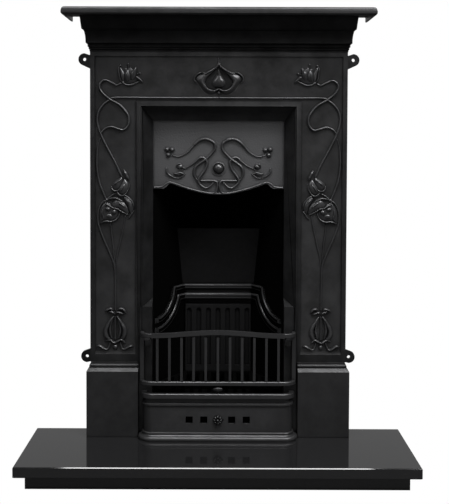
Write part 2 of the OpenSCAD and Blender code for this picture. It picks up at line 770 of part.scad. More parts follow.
// The space that ends at the opening in front and at the fireback behind
module inside_firebox() {
    plan_view(0, firebox_top) rect(0, inner_half, -firebox_back + seat_gap, flange_back);
}
module liner_right() { color([0.1, 0.1, 0.105]) liner(); }
module liner_left() { color([0.1, 0.1, 0.105]) mirror([1, 0, 0]) liner(); }
// Two flat bars on the liners, which carry the bottom grate
bearer_w = 14;
bearer_h = 10;
bearer_top = grate_top - grate_h - seat_gap;
module grate_bearers() {
    color([0.1, 0.1, 0.105]) on_hearth() both_sides() intersection() {
        cheek_frame() translate([0, liner_t, bearer_top - bearer_h]) cube([liner_len, bearer_w, bearer_h]);
        inside_firebox();
    }
}

// Half width between the liners, or between their beads when t is larger
function inside_liner(back, t) =
    inner_half - (flange_back + back) * tan(cheek_a) - t / cos(cheek_a) - seat_gap;
module back_rail() {
    front = -firebox_back + seat_gap;
    color([0.1, 0.1, 0.105]) on_hearth() intersection() {
        union() {
            side_view(back_half) polygon([
                [front, rail_top - rail_h], [front + liner_t, rail_top - rail_h],
                [front + liner_t, rail_top], [front, rail_top]]);
            for (o = [[0, bead_upper], [lower_bead_from, rail_h]]) let (r = (o[1] - o[0]) / 2)
                side_view(back_half) polygon(concat(
                    [[front + e, rail_top - o[1]]],
                    [for (a = [-90:11.25:90])
                        [front + liner_t + bead_out * cos(a), rail_top - o[0] - r + r * sin(a)]],
                    [[front + e, rail_top - o[0]]]));
        }
        plan_view(0, firebox_top) polygon([
            [-inside_liner(-front, liner_t + bead_out), front],
            [inside_liner(-front, liner_t + bead_out), front],
            [inside_liner(-front - liner_t - bead_out, liner_t + bead_out), front + liner_t + bead_out],
            [-inside_liner(-front - liner_t - bead_out, liner_t + bead_out), front + liner_t + bead_out]]);
    }
}
module ribbed_plate() {
    front = -firebox_back + seat_gap;
    half = inside_liner(-front, liner_t);
    arch_r = flute_w / 2;
    arch_top = ribbed_top - 10;
    color([0.1, 0.1, 0.105]) on_hearth() difference() {
        front_view(front, front + ribbed_t) rect(-half, half, firebox_foot, ribbed_top);
        // the bearers of the grate pass its corners
        both_sides() cheek_frame() translate([fire_len / 2, 0, bearer_top - bearer_h - seat_gap])
            cube([fire_len, liner_t + bearer_w + 2, bearer_h + 2 * seat_gap]);
        for (i = [0:flute_count - 1]) let (x = (i - (flute_count - 1) / 2) * flute_pitch)
            front_view(front + ribbed_t - flute_sink, front + ribbed_t + e) {
                rect(x - arch_r, x + arch_r, grate_top + 17, arch_top - arch_r);
                translate([x, arch_top - arch_r]) circle(arch_r);
            }
    }
}

// ---- bottom grate ----
grate_back = -firebox_back + ribbed_t + 2;
grate_front = bars_depth - rail_t - 4;
grate_side = inner_half - 4;
tongue_len = 34;    // how far the bars reach past the rim, in front
function grate_half(back) = min(grate_side, inside_liner(back, liner_t) - 3);
module grate_plan() {
    bend = -flange_back;
    polygon([
        [-grate_half(-grate_back), grate_back], [grate_half(-grate_back), grate_back],
        [grate_half(bend), -bend], [grate_half(bend), grate_front - tongue_len],
        [-grate_half(bend), grate_front - tongue_len],
        [-grate_half(bend), -bend]]);
}
tooth_t = 8;
module bottom_grate() {
    color([0.09, 0.09, 0.09]) on_hearth() {
        // rim of the grate, then bars and teeth
        plan_view(grate_top - grate_h, grate_top) difference() {
            grate_plan();
            grate_hole();
        }
        for (i = [0:grate_bars - 1]) let (x = (i - (grate_bars - 1) / 2) * grate_pitch) {
            plan_view(grate_top - grate_h, grate_top) intersection() {
                rect(x - grate_bar / 2, x + grate_bar / 2, grate_back, grate_front);
                union() {
                    grate_plan();
                    rect(-inner_half, inner_half, grate_front - tongue_len - e, grate_front);
                }
            }
            plan_view(grate_top - e, grate_top + tooth_h)
                rect(x - grate_bar / 2, x + grate_bar / 2, grate_front - tooth_t, grate_front);
        }
    }
}
module grate_hole() {
    w = 9;
    bend = -flange_back;
    polygon([
        [-grate_half(-grate_back) + w, grate_back + w], [grate_half(-grate_back) - w, grate_back + w],
        [grate_half(bend) - w, -bend], [grate_half(bend) - w, grate_front - tongue_len - w],
        [-grate_half(bend) + w, grate_front - tongue_len - w], [-grate_half(bend) + w, -bend]]);
}

// ---- front bars ----
bars_half = bars_w / 2;
bars_back = splay_front + seat_gap;
flat_half = bars_half - corner_r;
function top_arc(n = 12) =
    [for (i = [-n:n]) [flat_half * i / n, bars_end_top + bars_rise * (1 + cos(180 * i / n)) / 2]];
rail_edge = 1.5;
function rail_section(h, z) = [[-rail_t, z + rail_edge], [-rail_t + rail_edge, z], [-rail_edge, z],
    [0, z + rail_edge], [0, z + h - rail_edge], [-rail_edge, z + h], [-rail_t + rail_edge, z + h],
    [-rail_t, z + h - rail_edge]];
post_t = 12;
arm_h = 10;
module front_bars() {
    low_end = bars_end_top - top_rail_h;
    color(iron_black) on_hearth() {
        bow(bars_half, bars_depth, corner_r, bars_back) polygon(rail_section(low_rail_h, bars_low));
        // top rail: level round the corners, rising to the middle of the front
        both_sides() {
            front_view(bars_back, bars_depth - corner_r) translate([bars_half, 0])
                polygon(rail_section(top_rail_h, low_end));
            translate([flat_half, -(bars_depth - corner_r), 0]) rotate([0, 0, -90]) rotate_extrude(angle = 90)
                translate([corner_r, 0]) polygon(rail_section(top_rail_h, low_end));
        }
        front_view(bars_depth - rail_t, bars_depth) polygon(concat(
            top_arc(), [for (i = [len(top_arc()) - 1:-1:0]) top_arc()[i] - [0, top_rail_h]]));
        for (i = [0:bar_count - 1]) let (x = (i - (bar_count - 1) / 2) * bar_pitch)
            front_view(bars_depth - rail_t + 1, bars_depth - 1) rect(x - bar_w / 2, x + bar_w / 2,
                bars_low + low_rail_h - e, bars_end_top - top_rail_h + 1);
        // end posts with the pins that drop into the sockets of the front casting
        both_sides() {
            front_view(bars_back, bars_back + post_t)
                rect(bars_half - rail_t, bars_half, bars_low + e, low_end + e);
            front_view(bars_back, 2 * pin_depth - bars_back)
                rect(hook_x - pin_r, bars_half - e, hook_low + hook_h + seat_gap, hook_low + hook_h + arm_h);
            translate([hook_x, -pin_depth, hook_low - pin_r]) cylinder(h = hook_h + arm_h, r = pin_r);
        }
    }
}

// ---- ash cover ----
cover_half = cover_w / 2;
cover_back = face_depth + seat_gap;
cover_r = corner_r + 8;
face_in = 15;
rail_in = 9;
panel_face = cover_depth - face_in;
// Outside of the wall from the foot up to the top rail, as (out from the foot, height)
function cover_outer() = [
    [-1, 0], [0, 2], [0, 5], [-1, 8], [-3, 10.5], [-6, 12], [-9, 12.5], [-11, 14.5], [-11.5, 17.5],
    [-11, 19.5], [-12, 21], [-face_in, 22],
    [-face_in, cover_h - 34], [-face_in + 3, cover_h - 32], [-face_in + 3, cover_h - 27.5],
    [-face_in, cover_h - 26],
    [-face_in - 3, cover_h - 24], [-face_in - 3, cover_h - 15], [-rail_in - 1, cover_h - 13],
    [-rail_in, cover_h - 12], [-rail_in, cover_h - 1.5], [-rail_in - 1.5, cover_h]];
cover_inner = face_in + 3 + cover_t;
vents = [-vent_outer, -vent_inner, vent_inner, vent_outer];
slot_r = 3.4;
stem_r = 3;
knob_depth = cover_depth - rail_in - 7;
knob_hole = 8;
module cover_profile() { polygon(concat(cover_outer(), [[-cover_inner, cover_h], [-cover_inner, 0]])); }
module ash_cover() {
    color(iron_black) on_hearth() difference() {
        bow(cover_half, cover_depth, cover_r, cover_back) cover_profile();
        for (x = vents)
            front_view(cover_depth - cover_inner - e, cover_depth)
                rect(x - vent_size / 2, x + vent_size / 2, vent_z - vent_size / 2, vent_z + vent_size / 2);
        // slot for the stem of the rosette, and the hole for the lifting knob
        front_view(cover_depth - cover_inner - e, cover_depth) {
            rect(0, slide_travel, vent_z - slot_r, vent_z + slot_r);
            translate([0, vent_z]) circle(slot_r);
            translate([slide_travel, vent_z]) circle(slot_r);
        }
        translate([0, -knob_depth, cover_h - knob_hole])
            cylinder(h = knob_hole + e, r = stem_r + thread_play);
    }
}
module lifting_knob() {
    color(iron_black) on_hearth() translate([0, -knob_depth, 0]) {
        translate([0, 0, cover_h - knob_hole + 2]) cylinder(h = knob_hole + knob_h / 2, r = stem_r);
        translate([0, 0, cover_h]) cylinder(h = 2, r = stem_r + 2);
        // an oval knob, turned about its long axis and lying across
        translate([0, 0, cover_h + knob_h / 2 + 5.25]) rotate([0, 90, 0]) rotate_extrude()
            polygon([for (i = [0:12]) [knob_h / 2 * sin(180 * i / 12), -knob_w / 2 * cos(180 * i / 12)]]);
    }
}
slide_face = cover_depth - cover_inner - seat_gap;
slide_margin = 9;
slide_low = vent_z - vent_size / 2 - slide_margin;
slide_high = vent_z + vent_size / 2 + slide_margin;
slide_half = vent_outer + 1.5 * vent_size + slide_travel;
guide_t = 4;
guide_h = 8;
guide_lip = 4;
// The slide's own windows lie one vent to the left, so that it is shut at rest
module air_slide() {
    shut = vent_size + 0.5;
    color("dimgray") on_hearth() difference() {
        front_view(slide_face - slide_t, slide_face) rect(-slide_half, slide_half, slide_low, slide_high);
        for (x = vents) let (w = x - shut)
            front_view(slide_face - slide_t - e, slide_face + e)
                rect(w - vent_size / 2 + 1, w + vent_size / 2 - 1,
                    vent_z - vent_size / 2, vent_z + vent_size / 2);
        rod_y(0, vent_z, stem_r + thread_play, slide_face - slide_t - e, slide_face + e);
    }
}
module rosette_knob() {
    petals = 8;
    petal_r = 4.5;
    front = panel_face + seat_gap;
    color(iron_black) on_hearth() {
        rod_y(0, vent_z, stem_r, slide_face - slide_t - 1, front + 3);
        rod_y(0, vent_z, 6.5, front, front + 8);
        rod_y(0, vent_z, 3.6, front + 7, front + 10);
        for (i = [0:petals - 1]) let (a = i * 360 / petals)
            rod_y((rosette_r - petal_r) * cos(a), vent_z + (rosette_r - petal_r) * sin(a), petal_r,
                front, front + 6);
    }
}
module slide_guides() {
    len = slide_half + slide_travel;
    color("dimgray") on_hearth() for (s = [-1, 1]) let (z = s > 0 ? slide_high : slide_low)
        side_view(len) polygon([
            [slide_face + seat_gap, z + s * seat_gap], [slide_face + seat_gap, z + s * guide_h],
            [slide_face - slide_t - guide_t, z + s * guide_h],
            [slide_face - slide_t - guide_t, z - s * guide_lip],
            [slide_face - slide_t - seat_gap, z - s * guide_lip],
            [slide_face - slide_t - seat_gap, z + s * seat_gap]]);
}

// ---- ash pan ----
pan_front = slide_face - slide_t - guide_t - 9;
module ash_pan() {
    half = pan_w / 2;
    color([0.2, 0.2, 0.21]) on_hearth() {
        difference() {
            plan_view(seat_gap, pan_h) rect(-half, half, pan_front - pan_len, pan_front);
            plan_view(seat_gap + pan_t, pan_h + e)
                rect(-half + pan_t, half - pan_t, pan_front - pan_len + pan_t, pan_front - pan_t);
        }
        // rolled lip at the front, which serves as the grip
        side_view(half) polygon([[pan_front - e, pan_h - 4], [pan_front + 5, pan_h - 4],
            [pan_front + 5, pan_h], [pan_front - e, pan_h]]);
    }
}

// ---- smoke space, throat and damper ----
shelf_drop = 40;     // how far the smoke shelf lies below the top of the fireback
smoke_low = fireback_top - shelf_drop;
module smoke_shelf() {
    plate_back = smoke_back - iron_t + e;
    rear_half = between(plate_back);
    color([0.08, 0.08, 0.085]) on_hearth() {
        plan_view(smoke_low, firebox_top) polygon([
            [-between(smoke_back), -smoke_back], [between(smoke_back), -smoke_back],
            [rear_half, -plate_back], [-rear_half, -plate_back]]);
        plan_view(smoke_low, smoke_low + iron_t) polygon([
            [-rear_half, -plate_back], [rear_half, -plate_back],
            [between(lean_at(smoke_low)), -lean_at(smoke_low)],
            [-between(lean_at(smoke_low)), -lean_at(smoke_low)]]);
    }
}
// Distance of the fireback's rear face behind the wall at a height on its leaning part
function lean_at(z) = firebox_back + iron_t + seat_gap
    - fireback_lean * (z - lean_from - 3) / (fireback_top - lean_from - 3);
throat_t = iron_t;
flue_back = smoke_back - 26;
flue_rear = 12 - flue_back;
hinge_z = firebox_top + throat_t + 7;
hinge_depth = -flue_back - 2;
lug_w = 12;
hinge_half = flue_w / 2 + 14;
module throat_plate() {
    front = canopy_back - seat_gap;
    wide = cheek_ear / cos(cheek_a) + iron_t;
    color(iron_black) on_hearth() difference() {
        union() {
            plan_view(firebox_top, firebox_top + throat_t) polygon([
                [-inner_half - wide, front], [inner_half + wide, front],
                [between(smoke_back) + wide, -smoke_back], [-between(smoke_back) - wide, -smoke_back]]);
            // two lugs for the hinge rod
            both_sides() translate([hinge_half, 0, 0]) side_view(lug_w / 2) {
                translate([hinge_depth, hinge_z]) circle(hinge_rod);
                rect(hinge_depth - hinge_rod, hinge_depth + hinge_rod, firebox_top + throat_t - e, hinge_z);
            }
        }
        plan_view(firebox_top - e, firebox_top + throat_t + e)
            rect(-flue_w / 2, flue_w / 2, flue_rear, flue_rear + flue_len);
        translate([-hinge_half - lug_w, -hinge_depth, hinge_z]) rotate([0, 90, 0])
            cylinder(h = 2 * (hinge_half + lug_w), r = hinge_rod / 2 + thread_play);
        both_sides() cheek_frame() for (u = throat_bolt_u)
            translate([u, -iron_t - cheek_ear / 2, firebox_top - e])
                cylinder(h = throat_t + 2 * e, r = bolt_r + bolt_play);
    }
}
module throat_bolts() {
    color("dimgray") on_hearth() both_sides() cheek_frame() for (u = throat_bolt_u)
        translate([u, -iron_t - cheek_ear / 2, firebox_top - iron_t])
            bolt_up(iron_t + throat_t + nut_h + bolt_over);
}
module throat_nuts() {
    color("dimgray") on_hearth() both_sides() cheek_frame() for (u = throat_bolt_u)
        translate([u, -iron_t - cheek_ear / 2, firebox_top + throat_t]) nut();
}
module damper_flap() {
    low = firebox_top + throat_t + seat_gap;
    flap_over = 8;
    half = flue_w / 2 + flap_over - 2;
    color(iron_black) on_hearth() difference() {
        union() {
            plan_view(low, low + flap_t) rect(-half, half, hinge_depth, flue_rear + flue_len + flap_over);
            side_view(half) translate([hinge_depth, hinge_z]) circle(hinge_rod - 2);
        }
        translate([-half - e, -hinge_depth, hinge_z]) rotate([0, 90, 0])
            cylinder(h = 2 * (half + e), r = hinge_rod / 2 + thread_play);
    }
}
module damper_rod() {
    rod_over = 4;
    color("dimgray") on_hearth() translate([-hinge_half - lug_w / 2 - rod_over, -hinge_depth, hinge_z])
        rotate([0, 90, 0]) cylinder(h = 2 * (hinge_half + rod_over) + lug_w, r = hinge_rod / 2);
}

hearth_slab();
hearth_front_strip();
hearth_side_strips();
hearth_back_strip();
front_casting();
plinth_left();
plinth_right();
plinth_bolts();
plinth_nuts();
cornice();
cornice_bolts();
cornice_nuts();
mantel_shelf();
shelf_screws();
canopy();
canopy_screws();
cheek_left();
cheek_right();
cheek_screws();
fireback();
fireback_bolts();
fireback_nuts();
liner_left();
liner_right();
grate_bearers();
back_rail();
ribbed_plate();
bottom_grate();
front_bars();
ash_cover();
lifting_knob();
slide_guides();
air_slide();
rosette_knob();
ash_pan();
smoke_shelf();
throat_plate();
throat_bolts();
throat_nuts();
damper_flap();
damper_rod();
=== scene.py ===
"""Finish, relief and stage of a cast iron fireplace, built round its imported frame.

Sizes in the property groups and in the relief are real millimetres. A place is given as on a workshop
drawing: millimetres across from the middle, in front of the wall, and above the top of the hearth.
"""

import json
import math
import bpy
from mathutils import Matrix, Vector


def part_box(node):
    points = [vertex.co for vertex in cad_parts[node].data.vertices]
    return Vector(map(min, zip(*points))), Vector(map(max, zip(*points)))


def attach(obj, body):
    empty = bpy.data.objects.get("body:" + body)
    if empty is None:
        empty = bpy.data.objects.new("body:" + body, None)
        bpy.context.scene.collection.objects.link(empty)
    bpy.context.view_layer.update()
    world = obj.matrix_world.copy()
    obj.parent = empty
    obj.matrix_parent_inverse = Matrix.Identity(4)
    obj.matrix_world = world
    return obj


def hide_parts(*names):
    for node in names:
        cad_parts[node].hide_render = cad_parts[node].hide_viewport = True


bl_info = {
    "name": "Cast iron fireplace",
    "version": (1, 0, 0),
    "blender": (4, 5, 0),
    "location": "3D View > Sidebar > Fireplace",
    "description": "Builds the finish, the cast relief and the stage of a cast iron fireplace",
    "category": "Object",
}

import bmesh
import bpy
import numpy as np
from bpy.props import FloatProperty, FloatVectorProperty, PointerProperty
from mathutils import Matrix

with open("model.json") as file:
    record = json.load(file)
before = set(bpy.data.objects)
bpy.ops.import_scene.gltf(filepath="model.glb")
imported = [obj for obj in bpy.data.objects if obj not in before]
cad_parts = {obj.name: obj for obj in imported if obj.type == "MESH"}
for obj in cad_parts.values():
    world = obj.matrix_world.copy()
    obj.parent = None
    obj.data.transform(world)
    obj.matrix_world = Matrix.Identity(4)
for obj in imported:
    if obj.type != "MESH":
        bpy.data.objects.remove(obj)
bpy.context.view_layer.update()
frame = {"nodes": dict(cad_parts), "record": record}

MM = 0.001
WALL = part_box("mantel_shelf")[1].y  # the plane of the wall
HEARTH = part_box("hearth_slab")[1].z  # the top of the hearth
SLOT_OF = {part["node"]: part["material_slot"] for part in frame["record"]["subparts"]}
BODY_OF = {node: body for body, nodes in frame["record"]["behaviour"]["bodies"].items() for node in nodes}

# Depths of the faces that the relief stands on, in millimetres in front of the wall
PANEL_DEPTH = 57.0
CANOPY_DEPTH = 19.0
COVER_DEPTH = 98.3
SUNK = 1.2  # how far each relief goes into its face
NEAR = 0.1  # how close to a place a corner has to lie to be taken as on it
POLE = 0.02  # the share of the radius at which a dome closes

# Places on the castings that their small forms are worked out from, in millimetres
IRON, FRAME_HALF = 8.0, 345.0  # thickness of the castings, and half the width of the frame
FASCIA_FOOT, FASCIA_DEPTH, FASCIA_HALF = 1095.0, 112.0, 367.0  # the cornice's lower front edge
OPENING_TOP, INNER_HALF, SPLAY_DEPTH = 855.0, 178.7, 27.0  # the rear edge of the splay
SPLAY_TOP, SPLAY_HALF, MOULD_DEPTH = 891.0, 207.0, 66.0  # its front edge
FACE_DEPTH, STEP = 62.0, 7.5  # the frame's face, and the width of the moulding's inner step
SPLAY_STOP, STOP_RISE = 350.0, 21.0  # where the splay stops at the grate, and how far that slopes up
CUT_ABOVE = 2.0  # how far above that stop the moulding's new form starts
RAIL_TOP, RAIL_LOW, SWEEP = 389.0, 312.0, 86.0  # the rail's edge at the back, in front, and how far it sweeps
FLANGE_DEPTH, BACK_DEPTH, CHEEK = 19.0, -109.7, math.atan(75.7 / 129.0)  # the cheeks' ends and their angle

# How far those forms move, in millimetres
FASCIA_LEAN = 8.0
QUIRK_IN, QUIRK_BACK, QUIRK_WIDER, RISER_OUT = 4.0, 9.0, 1.5, 6.0
LUGS = (((366.0, 1017.0), 4.5), ((360.0, 204.0), 0.0))  # the middle of each lug's hole, and how far it lifts
EYE_OUT, EYE_REACH, HOLE_REACH, EYE_GROWS, HOLE_SHRINKS = 1.5, 14.0, 7.0, 1.28, 0.86
RAIL_BEADS = ((0.0, 14.0), (26.0, 44.0))  # from how far to how far below the rail's edge each bead lies
BEAD_HEIGHT, BEAD_FOOT = 7.0, -2.0


# ---- sizes and colours that a user may change ----
def colour(name, description, default):
    """A colour that a user may change."""
    return FloatVectorProperty(
        name=name, description=description, subtype="COLOR", size=3, default=default, min=0.0, max=1.0)


def number(name, description, default, **limits):
    """A number that a user may change."""
    return FloatProperty(name=name, description=description, default=default, **limits)


class IronSettings(bpy.types.PropertyGroup):
    tint: colour("Iron", "Colour of the blacked iron", (0.0115, 0.0115, 0.0119))
    # also the colour of the painted highlight along convex edges
    shine: colour("Polished iron", "Colour of the iron where the blacking is rubbed", (0.085, 0.085, 0.088))
    soot: colour("Soot", "Colour of the iron round the fire", (0.0009, 0.0009, 0.0009))
    smoked: colour("Smoked iron", "Colour of the iron beside the coals", (0.004, 0.004, 0.0042))
    grain: number("Grain", "Size of the sand-cast grain in millimetres", 1.6, min=0.3, max=6.0)
    edge: number("Edge radius", "Rounding of the cast edges in millimetres", 1.5, min=0.2, max=3.0)
    arris: number("Arris", "Rounding of the hearth's edges in millimetres", 0.12, min=0.05, max=3.0)


class GraniteSettings(bpy.types.PropertyGroup):
    tint: colour("Granite", "Colour of the polished granite", (0.011, 0.011, 0.0115))
    fleck: colour("Flecks", "Colour of the flecks in the granite", (0.06, 0.062, 0.066))


class ReliefSettings(bpy.types.PropertyGroup):
    width: number("Width", "Width of every ridge, as a share of the drawn one", 1.0, min=0.5, max=1.5,
                  subtype="FACTOR")
    height: number("Height", "Height of the relief, as a share of the drawn one", 1.25, min=0.4, max=1.6,
                   subtype="FACTOR")
    step: number("Step", "Distance in millimetres between two rings of a stem", 1.5, min=0.5, max=6.0)


class StageSettings(bpy.types.PropertyGroup):
    lens: number("Lens", "Focal length in millimetres", 65.07, min=20.0, max=200.0)
    distance: number("Distance", "From the camera to the wall", 2.507, min=1.0, max=10.0, subtype="DISTANCE",
                     unit="LENGTH")
    height: number("Height", "Of the camera above the hearth", 0.806, min=0.0, max=3.0, subtype="DISTANCE",
                   unit="LENGTH")
    pitch: number("Pitch", "Downward tilt of the camera", math.radians(2.054), subtype="ANGLE",
                  unit="ROTATION")
    roll: number("Roll", "Turn of the camera about its own view", math.radians(0.199), subtype="ANGLE",
                 unit="ROTATION")
    shift_x: number("Shift across", "Sideways shift of the lens", 0.0118)
    shift_y: number("Shift up", "Upward shift of the lens", -0.16)
    ambient: number("Ambient", "Strength of the even light", 0.07, min=0.0)
    glow: number("Glow", "Strength of the light from behind", 0.36, min=0.0)
    backdrop: number("Backdrop", "Brightness of the backdrop and the floor", 1.0, min=0.0)


# ---- the relief: chosen points, across and up, in millimetres, for the right half ----
def plotted(text):
    """Points from their text, two numbers for each."""
    return np.array(text.split(), float).reshape(-1, 2)


def drawn(text):
    """Rows of a drawing table, each ended by a semicolon: its points, and the numbers after each slash."""
    rows = [row.split("/") for row in text.split(";")[:-1]]
    return [[plotted(row[0])] + [np.array(part.split(), float) for part in row[1:]] for row in rows]


# The stems on the pilasters and the frieze, each with its half widths and heights from end to end
STEMS = drawn("""
    262 954  274 949  288 956  304 962  316 956  320 943  312 928  300 917  287 908  266 896  249 878  241 861
      243 841  256 829  274 833  289 837  305 832  317 819  / 2.4 3 3.2 3 2.4  / 4.4 5.6 5.8 5.4 4.4;
    0 915  90 915  190 915  277 915  295 908  311 895  322 878  326 858  323 837  314 812  298 779  278 742
      259 701  / 2.7 2.7 2.7 2.4  / 3.6 3.6 4.2 3.8;
    318 806  325 780  327 734  320 687  302 641  / 1 2.4 2.6 2.4  / 1.6 3.6 4 4;
    302 641  315 630  323 612  325 590  321 568  310 538  295 503  284 476  279 451  278 405  278 341
      / 2.2 2.3 2.2 2.2  / 3.4 3.6 3.2 2.8;
    291 579  287 545  283 513  281 483  279 457  / 1.6 1.9 1.4  / 2.6 2.8 1.8;
    250 599  255 571  264 530  273 491  278 457  / 1.5 1.9 1.4  / 2.4 2.8 1.8;""")
# The tulip at the top of each pilaster, with the height of its cup
TULIP_RISE = 3.4
TULIP_CUP = plotted("""
    257 956  254 971  252 985  249 994  243 990  238 996  231 991  224 996  224 982  222 971  213 964  224 956
    240 952""")
TULIP_PETALS = drawn("""
    257 953  263 963  266 978  267 994  263 997  257 988  252 978  251 964  / 4.6 0.6;
    254 966  254 978  250 987  243 993  238 984  235 970  240 960  249 959  / 9 0.55;
    238 965  238 982  230 991  221 998  220 982  223 968  231 961  / 8.4 0.55;""")
TULIP_RIDGES = drawn("""
    257 955  264 964  267 978  268 994  265 1001  / 1 1.6 1.8 1.8 1.2  / 4 5.6 5.8 5.4 3.4;
    245 959  246 973  243 990  / 0.8 1.8 0.8  / 6 9 4;
    231 962  230 977  223 997  / 0.8 1.8 0.8  / 6 8.8 3.6;
    224 969  219 970  213 965  207 960  203 954  / 2 3.2 2.8 2.2 1  / 5.4 6.8 6.2 5 2.4;
    257 955  248 950  236 949  223 954  211 959  203 953  / 1.8 2.6 2.8 2.6 1.8 0.8  / 4 4.6 4.8 4.4 3.6 1.6;
    243 990  243 1003  / 1.1 1.1  / 3 3;
    221 978  213 980  / 1.1 1.1  / 3 3;""")
TULIP_DOTS = (
    ((257, 955), 4.2, 5.6), ((264, 1001), 3.4, 5.0), ((243, 1004), 3.4, 5.0), ((212, 980), 3.4, 5.0))
# The cluster of buds and the bloom half way down each pilaster, with the bloom's height
BLOOM_RISE = 4.4
BUDS = drawn("""
    259 702  268 698  279 691  287 681  286 671  279 664  269 666  262 674  258 687  / 8.4 0.6;
    251 697  259 689  268 677  272 665  268 655  258 651  248 657  241 670  242 685  / 8.4 0.6;
    279 641  268 643  256 637  246 627  239 613  243 602  256 607  271 616  286 621  287 630  / 8.6 0.6;
    256 650  247 651  236 642  228 627  229 611  236 602  241 611  245 624  252 636  / 8.2 0.6;""")
BLOOM = plotted("""
    303 633  313 626  320 613  321 599  318 583  304 583  290 582  279 586  270 595  268 608  274 617  285 621
    293 630""")
CLUSTER_RIDGES = drawn("""
    255 723  250 712  245 702  239 693  / 1 4.2 4.2 1.2  / 3 7 6.4 2.4;
    283 679  276 685  267 692  259 698  / 1.4 3.6 3.6 1.4  / 5 8.6 8 4;
    288 679  285 669  277 665  268 668  260 680  256 693  / 1.4 2.6 2.8 2.4 1.8 1  / 4 6 6.4 5.6 4.4 2.6;
    266 661  261 669  255 678  249 687  / 1.2 3.4 3.4 1.2  / 5 8.4 8 4;
    272 666  269 657  260 652  250 657  242 671  240 685  / 1.4 2.6 2.8 2.4 1.8 1  / 4 6 6.4 5.6 4.4 2.6;
    299 643  290 650  281 656  271 661  / 2 2 2 1.6  / 3.4 3.4 3.4 2.6;
    299 641  288 645  276 645  264 640  252 630  / 1.4 2.4 3 2.8 1  / 3 5 6.4 6 2.4;
    273 637  264 631  255 624  247 616  / 1.4 4.2 4.2 1.4  / 5 9 8.4 4;
    289 621  273 617  258 608  242 600  / 1.2 2.2 2.4 1.4  / 3 5.6 5.8 3;
    250 645  243 637  237 626  235 615  / 1.4 3.6 3.2 1.2  / 4.6 7.8 7 3.4;
    262 650  251 652  240 645  229 630  227 614  / 1.2 2.2 2.4 2.2 1.2  / 3 5.2 5.6 5.2 3;
    227 612  233 604  240 593  245 588  / 1 2.2 2.4 0.8  / 2.6 4 4 1.4;
    303 637  302 629  293 625  286 620  274 617  264 614  / 1.6 2.4 2.8 2.6 2.4 1.4  / 4 6 6.6 6.4 5.6 3;
    266 608  269 596  278 586  290 582  304 583  320 576  / 1.4 2 2.6 3 3 1.2  / 3.4 4.6 6.2 7.2 6.6 2.4;
    311 617  313 605  309 594  312 585  / 1.2 2.2 2 1  / 4 5.8 5.2 3;""")
CLUSTER_DOMES = (
    ((301, 641), 4.6, 4.6, 5.6, 0.0), ((297, 616), 9.0, 6.6, 9.4, 0.2), ((281, 608), 7.0, 8.0, 8.8, 0.5),
    ((294, 597), 10.0, 7.0, 6.6, 0.1))
# The bow, bulb and root at the foot of each pilaster
ROOT_RIDGES = drawn("""
    306 338  299 343  290 346  282 341  / 1 2.8 3.4 1.4  / 2.4 6 6.6 3;
    273 342  264 346  256 344  247 333  / 1.4 3.4 3 1  / 3 6.6 6 2;
    298 334  290 338  284 336  277 330  / 1 3 3.2 1.6  / 2.6 6.8 7.2 4;
    278 332  271 337  262 334  252 331  / 1.6 3 3.2 1.2  / 4 7.2 7.2 2.6;
    281 327  294 308  303 287  301 271  291 261  / 2.4 4 5.4 6.2 4.4  / 4.4 6 6.8 7 5.2;
    273 327  262 308  253 290  254 273  262 261  / 2.4 4 5.4 6.2 4.4  / 4.4 6 6.8 7 5.2;
    284 321  290 303  292 285  287 263  / 1.4 2.6 3.4 2.4  / 3.6 4.6 5.2 3.4;
    271 321  266 303  264 285  269 263  / 1.4 2.6 3.4 2.4  / 3.6 4.6 5.2 3.4;
    278 327  278 305  278 283  278 261  / 1.8 2.2 2.2 2.2  / 4 5.2 5.2 4.8;
    306 257  299 260  291 261  284 256  278 254  270 258  262 262  255 257  250 251
      / 1.4 2.2 3 3.2 3 3.2 3 2.6 1.2  / 2.6 4.6 6.6 7.6 6.6 7.2 6.8 5.4 2.6;
    329 243  320 245  312 240  305 236  298 237  293 247  291 256  / 1.6 3 3.2 2.8 2.4 2 1.6
      / 4 7.4 7.4 6.6 5 4.4 4;
    228 243  236 245  246 240  254 236  259 238  263 248  265 256  / 1.6 3 3.2 2.8 2.4 2 1.6
      / 4 7.4 7.4 6.6 5 4.4 4;""")
ROOT_DOMES = (((278, 242), 6.6, 7.6, 7.6, 0.0),)
# The heart-shaped motif in the middle of the frieze: its outer edge, the edge of its hollow, its seed with
# the seed's highest point, the drop under it, and the heights of heart, hollow's painted-shade sheet and seed
HEART_RISE, HOLLOW_RISE, SEED_RISE = 6.4, 0.6, 8.6
SEED_TOP = (0, 962)
DROP = (((0, 928), 3.2, 5.6, 6.6, 0.0),)
HEART = plotted("""
    0 1017  3 1003  14 993  26 986  44 982  57 978  65 970  65 961  57 953  50 944  45 936  36 928  24 923
    10 925  0 934""")
HEART_HOLLOW = plotted("0 1001  7 993  18 982  29 971  36 960  36 951  31 943  23 937  13 935  0 941")
SEED = plotted("0 997  3 984  10 971  17 960  18 951  11 944  0 943")
HEART_RIDGES = drawn("""
    0 1024  1 1009  5 1000  15 991  27 984  40 977  / 1.8 1.8 2.2 3 3.6 2  / 3.4 4.2 5.8 7.8 8.4 6;
    38 955  36 946  30 939  22 935  12 934  0 939  / 1 1.8 2.4 2.6 2.4 2  / 4.4 6.2 7.6 8 7.6 7;
    42 984  55 980  64 971  65 962  57 954  / 1 1.8 1.8 1.8 1  / 4 5 5.2 5 3.6;""")
